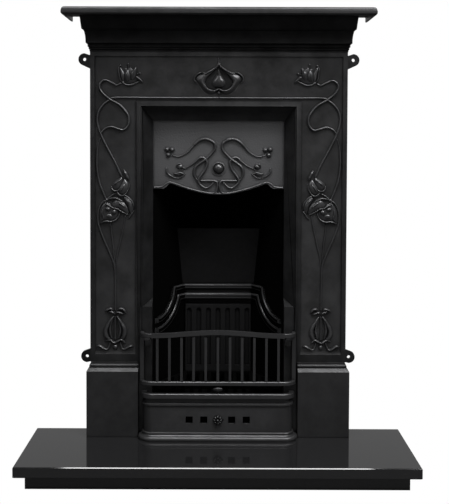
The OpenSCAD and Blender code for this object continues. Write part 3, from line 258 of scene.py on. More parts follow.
# The canopy: its interlaced stems, its lilies and berries, its boss with the ring round it, and its lower
# edge
CANOPY_STEMS = drawn("""
    103 717  95 724  79 731  63 743  52 753  43 754  35 749  31 738  37 721  47 707  55 694  52 683  41 673
      30 672  20 679  12 689  / 1.2 2 3.4 4 3.8 4 3.4 2.4  / 2.6 3.2 4.6 5.4 5.2 5.4 5 3.8;
    52 691  36 691  20 691  8 690  3 682  4 670  9 659  20 655  / 3.2 3.4 3.4 3.6 3.6 3.2 2.2
      / 4.6 4.8 4.8 5 5 4.6 3.2;
    55 693  62 697  67 712  63 728  49 740  34 751  19 765  10 778  11 792  22 801  36 805  52 801  66 789
      82 771  97 761  112 757  129 762  / 2.4 4.2 4 3 3.6 4.8 4.4 3 2 1.6
      / 4.4 6 6.2 5.4 5.8 6.6 6 4.2 3 2.6;
    142 727  141 715  133 706  121 700  109 698  97 704  90 712  / 1.6 2.6 2.4 1.6 1.6 1.8 1.2
      / 3.4 5 4.6 3 3.2 3.4 2.4;
    88 722  96 727  105 737  114 734  116 724  / 1 1.3 1.5 1.3 1  / 2.2 2.8 3 2.8 2;
    124 713  116 710  104 713  96 709  92 704  / 1.2 2.6 3.4 2.8 1.2  / 2.6 4.6 5.6 5 2.6;""")
CANOPY_DOMES = (
    ((105, 729), 8.4, 6.4, 7.0, 2.6), ((108, 709), 12.0, 5.0, 5.4, 2.9), ((127, 775), 6.8, 6.8, 8.0, 0.0),
    ((141, 776), 6.8, 6.8, 8.0, 0.0), ((137, 761), 6.8, 6.8, 8.0, 0.0))
BOSS_MIDDLE, BOSS_RADIUS, BOSS_RISE = 724, 13.5, 11.0
RING_RADIUS, RING_WIDE, RING_RISE = 16.0, 2.4, 3.4
EDGE_WIDE, EDGE_RISE = 3.0, 3.6
PETALS, SHANK = 8, 3.0  # of the rosette on the air slide: how many, and the radius of its shank
CANOPY_EDGE = plotted("""
    0 656  30 657.5  60 663.5  90 672  112 680  131 686  143 682  152 675  164 672.5  177 672.5""")


# ---- shapes ----
def placed(across, depth, up):
    """Points in metres from millimetres across, in front of the wall and above the hearth."""
    across, depth, up = np.broadcast_arrays(across, depth, up)
    return np.stack([across * MM, WALL - depth * MM, HEARTH + up * MM], axis=-1)


def flow(points, closed=False, steps=16):
    """Smooth line through chosen points: on each stretch a cubic, whose slope at a point is half the
    step between that point's two neighbours."""
    p = np.asarray(points, float)
    p = np.vstack([p[-1], p, p[:2]]) if closed else np.vstack([2 * p[0] - p[1], p, 2 * p[-1] - p[-2]])
    t = np.linspace(0, 1, steps, endpoint=False)[None, :, None]
    a, b, c, d = (p[i:len(p) - 3 + i, None] for i in range(4))
    line = 0.5 * (2 * b + (c - a) * t + (2 * a - 5 * b + 4 * c - d) * t**2 + (3 * b - a - 3 * c + d) * t**3)
    line = line.reshape(-1, p.shape[1])
    return line if closed else np.vstack([line, p[-2]])


def even(line, count, closed=False):
    """The same line with its points at even steps along its length."""
    if closed:
        line = np.vstack([line, line[0]])
    along = np.concatenate([[0.0], np.cumsum(np.linalg.norm(np.diff(line, axis=0), axis=1))])
    marks = np.linspace(0, along[-1], count, endpoint=not closed)
    return np.stack([np.interp(marks, along, line[:, i]) for i in range(line.shape[1])], axis=1)


def along(values, count):
    """Values at even stations along a line, eased from each to the next by a half cosine."""
    values = np.asarray(values, float)
    u = np.linspace(0, len(values) - 1, count)
    i = np.minimum(u.astype(int), len(values) - 2)
    return values[i] + (values[i + 1] - values[i]) * (1 - np.cos(np.pi * (u - i))) / 2


def rib(line, wide, high, face, closed=False, section=15):
    """Rings of a raised rib. Across it, v runs from -1 to 1 and it stands high * (1 - v^2)^0.4 above its
    face; its foot flares out to v = 1.14 and goes into the face."""
    if closed:
        step = np.roll(line, -1, axis=0) - np.roll(line, 1, axis=0)
    else:
        step = np.gradient(line, axis=0)
    step = step / np.linalg.norm(step, axis=1, keepdims=True)
    side = np.stack([-step[:, 1], step[:, 0]], axis=1)
    turn = np.linspace(0, np.pi, section)
    v = np.concatenate([-np.cos(turn), [1.14, 1.14, -1.14, -1.14]])
    back = np.concatenate([np.sin(turn) ** 0.8, np.zeros(4)])
    sunk = np.concatenate([np.zeros(section), [0.15, SUNK, SUNK, 0.15]])
    off = wide[:, None] * v[None, :]
    rise = high[:, None] * back[None, :] - sunk[None, :]
    return placed(line[:, :1] + side[:, :1] * off, face + rise, line[:, 1:] + side[:, 1:] * off)


def stem(points, wide, high, face, ends=None):
    """A rib along points, with half widths and heights at even stations along it, whose ends are rounded
    as a quarter circle over the share ends of its length, or over about one and a half half-widths."""
    relief = bpy.context.scene.fireplace_relief
    line = flow(points)
    length = np.linalg.norm(np.diff(line, axis=0), axis=1).sum()
    count = max(12, int(length / relief.step))
    line = even(line, count)
    u = np.linspace(0, 1, count)
    start, end = ends or (1.5 * wide[0] / length, 1.5 * wide[-1] / length)
    tip = np.clip(u / start, 0.0, 1.0) * np.clip((1 - u) / end, 0.0, 1.0)
    tip = np.sqrt(np.maximum(tip * (2 - tip), POLE**2))
    return rib(line, along(wide, count) * tip * relief.width, along(high, count) * tip * relief.height, face)


def ridges(rows, face):
    """A stem for each row of points, half widths and heights."""
    return [stem(line, wide, high, face) for line, wide, high in rows]


def dome(middle, long, wide, high, face, turn=0.0, crown=0.5, rings=14, around=36):
    """A raised oval: at the share t of its radius it stands high * (1 - t^2)^crown above its face."""
    t = np.concatenate([[1.06, 1.06], np.cos(np.linspace(0, np.pi / 2, rings))[:-1], [POLE]])
    rise = np.where(t < 1.0, high * np.maximum(1 - t**2, 0.0) ** crown, 0.0)
    rise[0] = -SUNK
    angle = np.linspace(0, 2 * np.pi, around, endpoint=False)
    a, b = long * t[:, None] * np.cos(angle), wide * t[:, None] * np.sin(angle)
    c, s = math.cos(turn), math.sin(turn)
    return placed(middle[0] + a * c - b * s, face + rise[:, None], middle[1] + a * s + b * c)


def domes(rows, face):
    """A dome for each (middle, long radius, short radius, height, turn)."""
    return [dome(middle, a, b, high, face, turn) for middle, a, b, high, turn in rows]


def blisters(rows, face):
    """A blister for each row of its outline, and its height and crown."""
    return [blister(outline, high, face, crown) for outline, (high, crown) in rows]


def mirrored(half, closed=True):
    """The whole outline, or the whole open line, from its right half, which starts on the middle line."""
    flipped = half * (-1, 1)
    return np.vstack([half, flipped[-2:0:-1]] if closed else [flipped[:0:-1], half])


def blister(outline, high, face, crown=0.5, centre=None, rings=12, count=96):
    """A raised shape with a free outline: its rings shrink from the outline to the middle, and at the
    share t of the way out it stands high * (1 - t^2)^crown above its face."""
    edge = even(flow(outline, closed=True), count, closed=True)
    centre = edge.mean(axis=0) if centre is None else np.asarray(centre, float)
    t = np.concatenate([[1.0, 1.0], np.cos(np.linspace(0, np.pi / 2, rings))[1:-1], [POLE]])
    rise = high * np.maximum(1 - t**2, 0.0) ** crown
    rise[0] = -SUNK
    points = centre + (edge - centre)[None] * t[:, None, None]
    return placed(points[..., 0], face + rise[:, None], points[..., 1])


def band(outer, inner, high, face, lean=0.5, across=9, count=120):
    """A raised band between two outlines: at the share v of the way in, it stands high * sin(pi * v^k)^0.7,
    where k is chosen so that the top of the band lies at the share lean."""
    a, b = (even(flow(line, closed=True), count, closed=True) for line in (outer, inner))
    v = np.linspace(0, 1, across)
    rise = high * np.sin(np.pi * v ** (math.log(0.5) / math.log(lean))) ** 0.7
    v = np.concatenate([v, [1.0, 0.0]])
    rise = np.concatenate([rise, [-SUNK, -SUNK]])
    points = a[:, None] + (b - a)[:, None] * v[None, :, None]
    return placed(points[..., 0], face + rise[None, :], points[..., 1])


def skin(rings, looped=False):
    """Points and faces of a closed skin over rings (n, k, 3). Each end is drawn in to its middle, or the
    last ring joins the first. The faces are turned outwards by the sign of the volume they hold."""
    n, k = rings.shape[:2]
    points = rings.reshape(-1, 3)
    i = np.arange(n if looped else n - 1)[:, None]
    j = np.arange(k)[None, :]
    here, there, beside = i * k, (i + 1) % n * k, (j + 1) % k
    quads = np.broadcast_arrays(here + j, here + beside, there + beside, there + j)
    quads = np.stack(quads, axis=-1).reshape(-1, 4)
    tris = np.zeros((0, 3), int)
    if not looped:
        points = np.vstack([points, rings[0].mean(axis=0), rings[-1].mean(axis=0)])
        j = np.arange(k)
        beside = (j + 1) % k
        last = (n - 1) * k
        tris = np.vstack([
            np.stack([beside, j, np.full(k, n * k)], 1),
            np.stack([last + j, last + beside, np.full(k, n * k + 1)], 1)])
    flat = np.vstack([quads[:, [0, 1, 2]], quads[:, [0, 2, 3]], tris])
    a, b, c = (points[flat[:, m]] for m in range(3))
    if np.einsum("ij,ij->", a, np.cross(b, c)) < 0:
        quads, tris = quads[:, ::-1], tris[:, ::-1]
    return points, quads, tris


def both_sides(shells):
    """The shells and their mirror images across the middle."""
    return [shell * np.array([s, 1.0, 1.0]) for shell in shells for s in (1.0, -1.0)]


def piece(name, shells, material, node, replaced=(), looped=()):
    """One mesh object from closed skins, riding on the body of a node, with the given material."""
    points, faces, start = [], [], 0
    for shell in [(rings, False) for rings in shells] + [(rings, True) for rings in looped]:
        made, quads, tris = skin(*shell)
        points.append(made)
        faces += (quads + start).tolist() + (tris + start).tolist()
        start += len(made)
    mesh = bpy.data.meshes.new(name)
    mesh.from_pydata(np.vstack(points).tolist(), [], faces)
    mesh.shade_smooth()
    mesh.set_sharp_from_angle(angle=math.radians(50.0))
    return fitted(name, mesh, material, node, replaced)


def fitted(name, mesh, material, node, replaced=()):
    """Links a mesh as a piece of the fireplace, with its material, body and finish."""
    mesh.materials.append(material)
    made = bpy.data.objects.new(name, mesh)
    bpy.context.scene.collection.objects.link(made)
    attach(made, BODY_OF[node])
    if replaced:
        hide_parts(*replaced)
    return made


def cast_copy(node, material, edge, recut=None):
    """A copy of a node with its doubles merged, its flat faces joined up and its sharp edges rounded. Where
    recut is given, it changes the copy's small forms first."""
    source = frame["nodes"][node].data
    points = np.zeros(len(source.vertices) * 3)
    source.vertices.foreach_get("co", points)
    triangles = np.zeros(len(source.loops), int)
    source.loops.foreach_get("vertex_index", triangles)
    mesh = bpy.data.meshes.new(node + "_cast")
    mesh.from_pydata(points.reshape(-1, 3).tolist(), [], triangles.reshape(-1, 3).tolist())
    work = bmesh.new()
    work.from_mesh(mesh)
    bmesh.ops.remove_doubles(work, verts=work.verts, dist=0.02 * MM)
    if recut:
        recut(work)
    bmesh.ops.dissolve_limit(work, angle_limit=math.radians(0.4), verts=work.verts, edges=work.edges)
    work.to_mesh(mesh)
    work.free()
    mesh.shade_smooth()
    made = fitted(node + "_cast", mesh, material, node, (node,))
    bevel = made.modifiers.new("Rounded edges", "BEVEL")
    bevel.width = edge * MM
    bevel.segments = 2
    bevel.limit_method = "ANGLE"
    bevel.angle_limit = math.radians(32.0)
    bevel.harden_normals = True
    return made


def refinish(node, material):
    """Gives a node that keeps its own shape another finish."""
    slots = frame["nodes"][node].data.materials
    slots.clear()
    slots.append(material)


def corners(work):
    """The corners of a mesh as columns: across, in front of the wall and above the hearth, in millimetres."""
    at = np.array([v.co for v in work.verts])
    return np.stack([at[:, 0], WALL - at[:, 1], at[:, 2] - HEARTH], axis=1) / MM


def moved(work, at):
    """Puts the corners of a mesh where the columns say."""
    for v, place in zip(work.verts, placed(at[:, 0], at[:, 1], at[:, 2])):
        v.co = place


def lean_fascia(work):
    """Leans the fascia back: the corners of its lower edge, outside and in the hollow an iron's thickness
    behind, move in by the lean at the front and by half of it at the ends."""
    at = corners(work)
    foot = np.abs(at[:, 2] - FASCIA_FOOT) < NEAR
    for inset in (0.0, IRON):
        front = foot & (np.abs(at[:, 1] - FASCIA_DEPTH + inset) < NEAR)
        side = foot & (np.abs(np.abs(at[:, 0]) - FASCIA_HALF + inset) < NEAR)
        at[front, 1] -= FASCIA_LEAN
        at[side, 0] -= np.sign(at[side, 0]) * FASCIA_LEAN / 2
    moved(work, at)


def quirk_and_lugs(work):
    """Gives the inner step of the opening's moulding a slope, and the wall lugs a fuller eye. With s from 0
    at the step's inner edge to 1 at its riser, its face moves back by 9 * (1 - s) and inwards by 4 + 1.5 * s;
    the splay behind follows in proportion to its depth. An eye's corners scale about the middle of its
    hole."""
    rise = STOP_RISE / (MOULD_DEPTH - SPLAY_DEPTH)
    bmesh.ops.bisect_plane(
        work, geom=work.verts[:] + work.edges[:] + work.faces[:], dist=0.001 * MM,
        plane_co=placed(0.0, MOULD_DEPTH, SPLAY_STOP + CUT_ABOVE).tolist(), plane_no=(0.0, -rise, 1.0))
    at = corners(work)
    x, depth, up = np.abs(at[:, 0]), at[:, 1], at[:, 2]
    above = up > SPLAY_STOP + CUT_ABOVE - NEAR + rise * (MOULD_DEPTH - depth)
    # the face of the inner step
    s = np.maximum(x - SPLAY_HALF, up - SPLAY_TOP) / STEP
    face = above & (np.abs(depth - MOULD_DEPTH) < NEAR) & (s > -0.02) & (s < 1.02)
    # the splay: its share t of the way from its rear edge to the front
    t = (depth - SPLAY_DEPTH) / (MOULD_DEPTH - SPLAY_DEPTH)
    jamb = above & (np.abs(x - INNER_HALF - t * (SPLAY_HALF - INNER_HALF)) < NEAR) & (t > 0.01) & ~face
    soffit = above & (np.abs(up - OPENING_TOP - t * (SPLAY_TOP - OPENING_TOP)) < NEAR) & (t > 0.01) & ~face
    s = np.clip(s, 0, 1)
    in_by = np.where(face, QUIRK_IN + QUIRK_WIDER * s, QUIRK_IN * t)
    back_by = np.where(face, QUIRK_BACK * (1 - s), QUIRK_BACK * t)
    across = (face & (x > SPLAY_HALF - NEAR)) | jamb
    over = (face & (up > SPLAY_TOP - NEAR)) | soffit
    either = face | jamb | soffit
    at[across, 0] -= np.sign(at[across, 0]) * in_by[across]
    at[over, 2] -= in_by[over]
    at[either, 1] -= back_by[either]
    # the foot of the riser goes out to the edge of the outer step
    low = above & (np.abs(depth - FACE_DEPTH) < NEAR)
    foot_x = low & (np.abs(x - SPLAY_HALF - STEP) < NEAR)
    foot_z = low & (np.abs(up - SPLAY_TOP - STEP) < NEAR) & (x < SPLAY_HALF + STEP + NEAR)
    at[foot_x, 0] += np.sign(at[foot_x, 0]) * RISER_OUT
    at[foot_z, 2] += RISER_OUT
    for place, lift in LUGS:
        away = np.stack([x - place[0], up - place[1]], axis=1)
        far = np.linalg.norm(away, axis=1)
        eye = (far < EYE_REACH) & (depth < IRON + 0.6) & (x > FRAME_HALF + 0.5)
        scale = np.where(far < HOLE_REACH, HOLE_SHRINKS, EYE_GROWS)
        at[eye, 0] = np.sign(at[eye, 0]) * (place[0] + EYE_OUT + away[eye, 0] * scale[eye])
        at[eye, 2] = place[1] + lift + away[eye, 1] * scale[eye]
    moved(work, at)


def rail_bead(near, far):
    """One bead of the moulded rail round the fire, from end to end. Where it lies o below the rail's edge it
    runs, on each cheek, along (sweep + o) * sin(a) and up to top - drop * cos(a), with drop = top - low + o,
    and then level to the mitre with the back. Across it, v from -1 to 1, it stands height * (1 - v^2)^0.3
    above the liner, less a hollow of 0.22 of that on top, 0.45 wide."""
    turn = np.linspace(0, np.pi, 13)
    v = np.concatenate([-np.cos(turn), [1.0, -1.0]])
    back = np.sin(turn) ** 0.6 * (1 - 0.22 * np.exp(-((np.cos(turn) / 0.45) ** 2)))
    off = IRON + np.concatenate([BEAD_HEIGHT * back, [BEAD_FOOT, BEAD_FOOT]])
    o = (near + far) / 2 + (far - near) / 2 * v
    drop = RAIL_TOP - RAIL_LOW + o
    angle = np.linspace(0, 1, 22)[:, None] * np.arccos(o / drop)
    u = (SWEEP + o) * np.sin(angle)
    up = RAIL_TOP - drop * np.cos(angle)
    mitre = (FLANGE_DEPTH - BACK_DEPTH - off * (1 - math.sin(CHEEK))) / math.cos(CHEEK)
    u = np.vstack([u, mitre])
    up = np.vstack([up, RAIL_TOP - o])
    x = INNER_HALF - u * math.sin(CHEEK) - off * math.cos(CHEEK)
    depth = np.minimum(FLANGE_DEPTH - u * math.cos(CHEEK) + off * math.sin(CHEEK), FLANGE_DEPTH)
    half = placed(x, depth, up)
    return np.vstack([half, half[::-1] * (-1.0, 1.0, 1.0)])


def rosette(middle, radius, petals, face, shank, back):
    """A flower on a round shank. At the share t of the way out its edge lies at
    radius * t * (0.84 + 0.16 * w), where w is the square root of the absolute cosine of half the petals'
    angle. From t = 0.36 outwards it stands 2 + 5 * sin(pi * share)^0.6 * (0.35 + 0.65 * w) above its face,
    and inside that a dome 8 higher than 2, in millimetres."""
    t = np.concatenate([[1.0], np.linspace(1.0, 0.38, 14), np.linspace(0.34, 0.02, 8)])[:, None]
    angle = np.linspace(0, 2 * np.pi, 24 * petals, endpoint=False)[None, :]
    lobe = np.abs(np.cos(petals * angle / 2)) ** 0.5
    share = np.clip((t - 0.3) / 0.7, 0.0, 1.0)
    leaf = 2.0 + 5.0 * np.sin(np.pi * share) ** 0.6 * (0.35 + 0.65 * lobe)
    eye = 2.0 + 8.0 * np.sqrt(np.maximum(1 - (t / 0.36) ** 2, 0.0))
    high = face + np.where(t > 0.36, leaf, eye)
    high[0] = face
    edge = radius * np.where(t > 0.36, 0.84 + 0.16 * lobe, 1.0) * t
    high = np.vstack([np.full_like(high[:2], back), high])
    high[1] = face
    edge = np.vstack([np.full_like(edge[:2], shank), edge])
    return placed(middle[0] + edge * np.cos(angle), high, middle[1] + edge * np.sin(angle))


# ---- materials ----
def add(tree, kind, inputs=None, **settings):
    """Adds a node, sets its properties, and fills or links its inputs."""
    made = tree.nodes.new(kind)
    for key, value in settings.items():
        setattr(made, key, value)
    for name, value in (inputs or {}).items():
        if isinstance(value, bpy.types.NodeSocket):
            tree.links.new(value, made.inputs[name])
        else:
            made.inputs[name].default_value = value
    return made


def spread(tree, value, low, high, to_low, to_high):
    """Maps a value from one range onto another."""
    made = add(tree, "ShaderNodeMapRange", {
        "Value": value, "From Min": low, "From Max": high, "To Min": to_low, "To Max": to_high})
    return made.outputs["Result"]


def worked(tree, operation, first, second):
    """Works out one value from two."""
    return add(tree, "ShaderNodeMath", {0: first, 1: second}, operation=operation).outputs[0]


def mixed(tree, share, first, second):
    """Mixes two colours by a mask."""
    made = add(tree, "ShaderNodeMix", data_type="RGBA")
    tree.links.new(share, made.inputs["Factor"])
    for socket, value in ((made.inputs[6], first), (made.inputs[7], second)):
        if isinstance(value, bpy.types.NodeSocket):
            tree.links.new(value, socket)
        else:
            socket.default_value = (*value, 1.0)
    return made.outputs[2]


def effect(name, inputs, outputs, wire):
    """A shader node group, built once in the file. Its inputs are the place on the surface, given as None,
    and numbers; wire(tree, given) makes its nodes and returns the sockets of its outputs."""
    if name in bpy.data.node_groups:
        return bpy.data.node_groups[name]
    tree = bpy.data.node_groups.new(name, "ShaderNodeTree")
    for socket, value in inputs.items():
        kind = "NodeSocketVector" if value is None else "NodeSocketFloat"
        made = tree.interface.new_socket(socket, in_out="INPUT", socket_type=kind)
        if value is not None:
            made.default_value = value
    for socket in outputs:
        tree.interface.new_socket(socket, in_out="OUTPUT", socket_type="NodeSocketFloat")
    given, result = tree.nodes.new("NodeGroupInput"), tree.nodes.new("NodeGroupOutput")
    for socket, value in zip(outputs, wire(tree, given.outputs)):
        tree.links.new(value, result.inputs[socket])
    return tree


def sand_grain(tree, given):
    """Sand-cast grain: fine noise and a few pits over a slow swell, as a height and a mottled mask."""
    place, scale = given["Place"], given["Grain scale"]
    fine = add(tree, "ShaderNodeTexNoise", {"Vector": place, "Scale": scale, "Detail": 3.0, "Roughness": 0.6})
    pits = add(tree, "ShaderNodeTexVoronoi", {"Vector": place, "Scale": scale}, feature="SMOOTH_F1")
    swell = add(tree, "ShaderNodeTexNoise", {"Vector": place, "Scale": 34.0, "Detail": 2.0})
    broad = add(tree, "ShaderNodeTexNoise", {
        "Vector": place, "Scale": 16.0, "Detail": 6.0, "Roughness": 0.65})
    pitted = spread(tree, pits.outputs["Distance"], 0.0, 0.45, -0.6, 0.0)
    rough = worked(tree, "ADD", fine.outputs["Fac"], pitted)
    slow = worked(tree, "MULTIPLY", swell.outputs["Fac"], given["Swell"])
    return worked(tree, "ADD", rough, slow), broad.outputs["Fac"]


def rubbed_and_highlit_edges(tree, given):
    """Rubbed edges and a painted highlight on them: where the surface is convex, broken up by noise, as a
    mask.
    """
    shape = add(tree, "ShaderNodeNewGeometry")
    broken = add(tree, "ShaderNodeTexNoise", {"Vector": given["Place"], "Scale": 90.0, "Detail": 4.0})
    convex = spread(tree, shape.outputs["Pointiness"], 0.505, 0.58, 0.0, 1.0)
    patchy = spread(tree, broken.outputs["Fac"], 0.3, 0.7, 0.35, 1.0)
    return (worked(tree, "MULTIPLY", worked(tree, "MULTIPLY", convex, patchy), given["Amount"]),)


def painted_corner_shade(tree, given):
    """Painted shade in corners: darker where near surfaces close a point in, as a mask."""
    closed = add(tree, "ShaderNodeAmbientOcclusion", {"Distance": given["Reach"]}, samples=6)
    shade_mask = spread(tree, closed.outputs["AO"], 0.3, 0.85, 1.0, 0.0)
    return (worked(tree, "MULTIPLY", shade_mask, given["Amount"]),)


def use_effect(tree, made, inputs):
    """Places an effect in a material, fills or links its inputs and gives its outputs."""
    return add(tree, "ShaderNodeGroup", inputs, node_tree=made).outputs


def new_material(name):
    """An empty node material with its surface shader and Object coordinates."""
    made = bpy.data.materials.new(name)
    made.use_nodes = True
    tree = made.node_tree
    shader = next(n for n in tree.nodes if n.type == "BSDF_PRINCIPLED")
    place = add(tree, "ShaderNodeTexCoord").outputs["Object"]
    return made, tree, shader, place


# What each iron has of its own: a colour under it and how much of that, a rubbed colour, also that of the
# painted highlight on edges, and how much of that, the grain's size as a share of the set one, and the
# painted shade in corners with its reach in millimetres
COMMON_IRON = dict(under="tint", much=1.0, rubbed="shine", rub=1.0, grain=1.0, bump=0.3, rough=0.34, rub_and_highlight=1.0,
                   metallic=0.55, swell=0.5, gloss=0.5, corner_shade=0.8, reach=8.0)
IRONS = {
    # satin, graphite-polished, on the front casting, the shelf and the knobs
    "leaded iron": dict(rub_and_highlight=0.06),
    # a matter, darker iron: painted shade under the shelf and in the heart's hollow
    "cornice iron": dict(much=0.75, rub=0.55, rough=0.55, rub_and_highlight=0.06, gloss=0.2),
    # paler than the front casting's
    "plinth iron": dict(much=1.9, rough=0.44, rub_and_highlight=0.06, corner_shade=0.6),
    # paler all over, a painted highlight, on the bars, the ash cover and the rail's beads
    "handled iron": dict(much=3.0, rough=0.36, rub_and_highlight=0.3, corner_shade=0.45),
    # the relief, paler, with bright ridges: partly rubbed, partly a painted highlight
    "rubbed iron": dict(much=2.6, rub=1.6, bump=0.2, rough=0.3),
    # the rougher background of the canopy, paler as a painted sheen, with painted shade reaching far in from
    # its edges
    "stippled iron": dict(much=8.0, grain=2.6, bump=1.0, rough=0.4, swell=0.2, rub_and_highlight=0.4, corner_shade=0.7,
                          reach=75.0),
    # matt and near black, on the cheeks, the liners, the grate, the smoke space and the air slide: soot, and
    # painted shade in the firebox and the air slide's recess
    "sooted iron": dict(under="soot", rubbed="soot", bump=0.4, rough=0.85, metallic=0.0, gloss=0.02),
    # satin, on the fireback, the ribbed plate and the back rail
    "smoked iron": dict(under="smoked", rubbed="tint", rough=0.6, metallic=0.1, gloss=0.12, corner_shade=0.5),
    # the bolts, nuts, screws, guides and hinge rod
    "blackened steel": dict(under=(0.02, 0.02, 0.021), rubbed=(0.07, 0.07, 0.072), grain=0.5, bump=0.15,
                            rough=0.38, metallic=0.8),
    # the ash pan
    "pan enamel": dict(under=(0.01, 0.01, 0.01), rubbed=(0.02, 0.02, 0.02), grain=1.875, bump=0.1, rough=0.3,
                       metallic=0.0),
}


def iron(name):
    """A finish of the table: mottled colour, rubbed edges with a painted highlight, painted shade in corners
    and sand-cast grain.
    """
    if name in bpy.data.materials:
        return bpy.data.materials[name]
    s = bpy.context.scene.fireplace_iron
    own = {**COMMON_IRON, **IRONS[name]}
    under, shine = (
        [share * c for c in (getattr(s, shade) if isinstance(shade, str) else shade)]
        for shade, share in ((own["under"], own["much"]), (own["rubbed"], own["rub"])))
    made, tree, shader, place = new_material(name)
    height, mottle = use_effect(
        tree, effect("Sand-cast grain", {"Place": None, "Grain scale": 600.0, "Swell": 0.5},
                     ("Height", "Mottle"), sand_grain),
        {"Place": place, "Grain scale": 1.0 / (s.grain * own["grain"] * MM), "Swell": own["swell"]})
    # partly real rubbing, partly painted highlight: convex edges turn to the rubbed colour
    rubbed_and_highlit, = use_effect(
        tree, effect("Rubbed edges", {"Place": None, "Amount": 1.0}, ("Mask",), rubbed_and_highlit_edges),
        {"Place": place, "Amount": own["rub_and_highlight"]})
    # painted shade: a mask that darkens the iron where near surfaces close a point in
    shade_mask, = use_effect(
        tree, effect("Blacking in corners", {"Reach": 0.008, "Amount": 1.0}, ("Mask",), painted_corner_shade),
        {"Reach": own["reach"] * MM, "Amount": own["corner_shade"]})
    base = mixed(tree, spread(tree, mottle, 0.36, 0.64, 0.0, 0.24), under, shine)
    # painted highlight, partly real rubbing: the edges take the rubbed colour
    rubbed = mixed(tree, rubbed_and_highlit, base, shine)
    # painted shade: near-black colour in corners, where shade falls
    corner_shaded = mixed(tree, shade_mask, rubbed, (0.0006, 0.0006, 0.0006))
    relief = add(tree, "ShaderNodeBump", {"Strength": own["bump"], "Distance": 0.35 * MM, "Height": height})
    shader.inputs["Specular IOR Level"].default_value = own["gloss"]
    for socket, value in (
            ("Base Color", corner_shaded),
            ("Roughness", spread(tree, mottle, 0.3, 0.7, own["rough"] + 0.05, own["rough"] - 0.05)),
            # painted shade: in corners the iron turns fully metallic over its near-black colour, so it
            # reflects almost nothing
            ("Metallic", spread(tree, shade_mask, 0.0, 1.0, own["metallic"], 1.0)),
            ("Normal", relief.outputs["Normal"])):
        tree.links.new(value, shader.inputs[socket])
    return made


def polished_granite():
    """Polished black granite: two sizes of fleck in a black ground."""
    name = "polished granite"
    if name in bpy.data.materials:
        return bpy.data.materials[name]
    s = bpy.context.scene.fireplace_granite
    made, tree, shader, place = new_material(name)
    small = add(tree, "ShaderNodeTexVoronoi", {"Vector": place, "Scale": 900.0})
    large = add(tree, "ShaderNodeTexNoise", {"Vector": place, "Scale": 260.0, "Detail": 4.0})
    flecks = spread(tree, small.outputs["Distance"], 0.12, 0.3, 1.0, 0.0)
    patches = spread(tree, large.outputs["Fac"], 0.52, 0.68, 0.0, 1.0)
    mask = worked(tree, "MULTIPLY", flecks, patches)
    tree.links.new(mixed(tree, mask, s.tint, s.fleck), shader.inputs["Base Color"])
    tree.links.new(spread(tree, mask, 0.0, 1.0, 0.06, 0.11), shader.inputs["Roughness"])
    shader.inputs["Specular IOR Level"].default_value = 0.6
    return made


def panel_relief(name, shells):
    """The relief of both pilasters, from the shells of the right one."""
    piece(name, both_sides(shells), iron("rubbed iron"), "front_casting")


# ---- operators ----
class FIREPLACE_OT_hearth(bpy.types.Operator):
    """Polish the granite hearth and round its edges"""
    bl_idname = "fireplace.hearth"
    bl_label = "Granite hearth"

    def execute(self, context):
        for node in ("hearth_slab", "hearth_front_strip", "hearth_side_strips", "hearth_back_strip"):
            cast_copy(node, polished_granite(), context.scene.fireplace_iron.arris)
        return {"FINISHED"}


class FIREPLACE_OT_castings(bpy.types.Operator):
    """Give the castings their rounded edges and their blacked finish"""
    bl_idname = "fireplace.castings"
    bl_label = "Castings"

    def execute(self, context):
        recuts = {"front_casting": quirk_and_lugs, "cornice": lean_fascia}
        # the cornice's darker iron is painted shade under the shelf
        finishes = {
            "front_casting": "leaded iron", "plinth_left": "plinth iron", "plinth_right": "plinth iron",
            "cornice": "cornice iron", "mantel_shelf": "leaded iron", "front_bars": "handled iron",
            "ash_cover": "handled iron", "canopy": "stippled iron"}
        for node, finish in finishes.items():
            cast_copy(node, iron(finish), context.scene.fireplace_iron.edge, recuts.get(node))
        refinish("lifting_knob", iron("leaded iron"))
        return {"FINISHED"}


class FIREPLACE_OT_firebox(bpy.types.Operator):
    """Finish the firebox, the grate and the smoke space in sooted, shade-darkened iron"""
    bl_idname = "fireplace.firebox"
    bl_label = "Firebox"

    def execute(self, context):
        finishes = {"ribbed_plate": "smoked iron", "fireback": "smoked iron", "liner_left": "sooted iron",
                    "liner_right": "sooted iron", "bottom_grate": "sooted iron", "back_rail": "smoked iron"}
        for node, finish in finishes.items():
            cast_copy(node, iron(finish), context.scene.fireplace_iron.edge)
        beads = [rail_bead(near, far) for near, far in RAIL_BEADS]
        piece("rail_beads", beads, iron("handled iron"), "back_rail")
        sooted = ("cheek_left", "cheek_right", "grate_bearers", "smoke_shelf", "throat_plate", "damper_flap")
        for node in sooted:
            refinish(node, iron("sooted iron"))
        return {"FINISHED"}


class FIREPLACE_OT_fittings(bpy.types.Operator):
    """Finish the fixings, the air slide and the ash pan"""
    bl_idname = "fireplace.fittings"
    bl_label = "Fittings"

    def execute(self, context):
        finishes = {node: "blackened steel" for node, slot in SLOT_OF.items() if slot == "dark_steel"}
        # the air slide's near-black iron is painted shade in its recess
        finishes.update(air_slide="sooted iron", ash_pan="pan enamel")
        for node, finish in finishes.items():
            refinish(node, iron(finish))
        return {"FINISHED"}


class FIREPLACE_OT_rosette(bpy.types.Operator):
    """Model the flower on the air slide's knob"""
    bl_idname = "fireplace.rosette"
    bl_label = "Rosette"

    def execute(self, context):
        low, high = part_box("rosette_knob")
        radius = (high.x - low.x) / 2 / MM
        middle = ((low.x + high.x) / 2 / MM, ((low.z + high.z) / 2 - HEARTH) / MM)
        flower = rosette(middle, radius, PETALS, COVER_DEPTH, SHANK, (WALL - high.y) / MM)
        piece("rosette", [flower], iron("leaded iron"), "rosette_knob", ("rosette_knob",))
        return {"FINISHED"}


